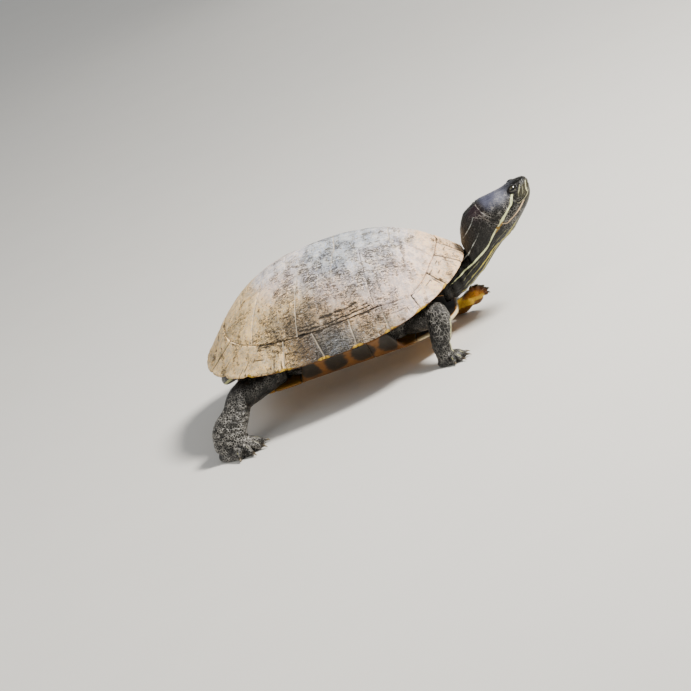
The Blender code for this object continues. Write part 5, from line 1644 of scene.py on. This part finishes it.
class SCENE_OT_turtle_stage(Operator):
    """Pale floor, soft lights and the camera"""
    bl_idname = "scene.turtle_stage"
    bl_label = "Stage"

    def execute(self, context):
        stage = context.scene.turtle_stage
        half = stage.floor_size / 2
        mesh = bpy.data.meshes.new("studio_floor")
        mesh.from_pydata([(-half, -half, 0), (half, -half, 0), (half, half, 0), (-half, half, 0)], [],
                         [(0, 1, 2, 3)])
        mesh.materials.append(studio_floor(stage))
        add_object("studio_floor", mesh)

        a, e, r = stage.azimuth, stage.elevation, stage.roll
        level_right = np.array((math.cos(a), -math.sin(a), 0.0))
        ahead = np.array((math.sin(a) * math.cos(e), math.cos(a) * math.cos(e), -math.sin(e)))
        level_up = np.cross(level_right, ahead)
        right = level_right * math.cos(r) - level_up * math.sin(r)
        up = level_right * math.sin(r) + level_up * math.cos(r)
        camera = add_object("camera", bpy.data.cameras.new("camera"))
        camera.data.lens, camera.data.sensor_width = LENS, SENSOR
        camera.data.clip_start, camera.data.clip_end = 0.05, 60.0
        distance = LENS / SENSOR * stage.view_width / MM
        matrix = Matrix(np.column_stack([TURN @ axis for axis in (right, up, -ahead)]).tolist()).to_4x4()
        matrix.translation = Vector(to_frame(right * AIM[0] + up * AIM[1] - ahead * distance))
        camera.matrix_world = matrix
        context.scene.camera = camera

        middle = to_frame((20.0, 0.0, 45.0))
        for name, direction, power, size, reach in (
                ("key", 0.92 * up - 0.42 * ahead + 0.34 * right, stage.key_power, 0.4, 1.6),
                ("fill", 0.35 * up - 0.7 * ahead - 0.9 * right, stage.fill_power, 1.6, 1.9),
                ("rear", 0.5 * up + 0.9 * ahead + 0.3 * right, 0.8 * stage.fill_power, 1.2, 1.8)):
            direction = TURN @ unit(direction)
            lamp = bpy.data.lights.new(name, "AREA")
            lamp.energy, lamp.size, lamp.shape = power, size, "DISK"
            lamp.color = (1.0, 0.96, 0.90)
            light = add_object(name, lamp)
            light.location = Vector(middle + direction * reach)
            light.rotation_euler = Vector(direction).to_track_quat("Z", "Y").to_euler()
        world = bpy.data.worlds.new("studio_air")
        world.use_nodes = True
        feed(world.node_tree.nodes["Background"], {"Color": (0.93, 0.96, 1.0), "Strength": 0.36})
        context.scene.world = world
        return {"FINISHED"}


# ---------------------------------------------------------------- add-on

class VIEW3D_PT_turtle(Panel):
    """Steps that build the turtle"""
    bl_idname = "VIEW3D_PT_turtle"
    bl_label = "Basking turtle"
    bl_space_type = "VIEW_3D"
    bl_region_type = "UI"
    bl_category = "Turtle"

    def draw(self, context):
        layout = self.layout
        for group in ("turtle_shell", "turtle_skin", "turtle_stage"):
            settings = getattr(context.scene, group)
            box = layout.box()
            for key in settings.__annotations__:
                box.prop(settings, key)
        for step in STEPS:
            layout.operator(step.bl_idname)


STEPS = (MESH_OT_turtle_dome_plates, MESH_OT_turtle_rim_plates, MESH_OT_turtle_plastron, MESH_OT_turtle_skin,
         MESH_OT_turtle_eyes, MESH_OT_turtle_claws, SCENE_OT_turtle_stage)
CLASSES = (TurtleShellSettings, TurtleSkinSettings, TurtleStageSettings, *STEPS, VIEW3D_PT_turtle)


def register():
    """Makes the classes and their settings known."""
    for item in CLASSES:
        bpy.utils.register_class(item)
    bpy.types.Scene.turtle_shell = PointerProperty(type=TurtleShellSettings)
    bpy.types.Scene.turtle_skin = PointerProperty(type=TurtleSkinSettings)
    bpy.types.Scene.turtle_stage = PointerProperty(type=TurtleStageSettings)


def unregister():
    """Takes the settings and classes away again."""
    for name in ("turtle_stage", "turtle_skin", "turtle_shell"):
        delattr(bpy.types.Scene, name)
    for item in reversed(CLASSES):
        bpy.utils.unregister_class(item)


def main():
    """Builds the stage and the turtle."""
    register()
    bpy.ops.scene.turtle_stage()
    bpy.ops.mesh.turtle_dome_plates()
    bpy.ops.mesh.turtle_rim_plates()
    bpy.ops.mesh.turtle_plastron()
    bpy.ops.mesh.turtle_skin()
    bpy.ops.mesh.turtle_eyes()
    bpy.ops.mesh.turtle_claws()


if __name__ == "__main__":
    main()
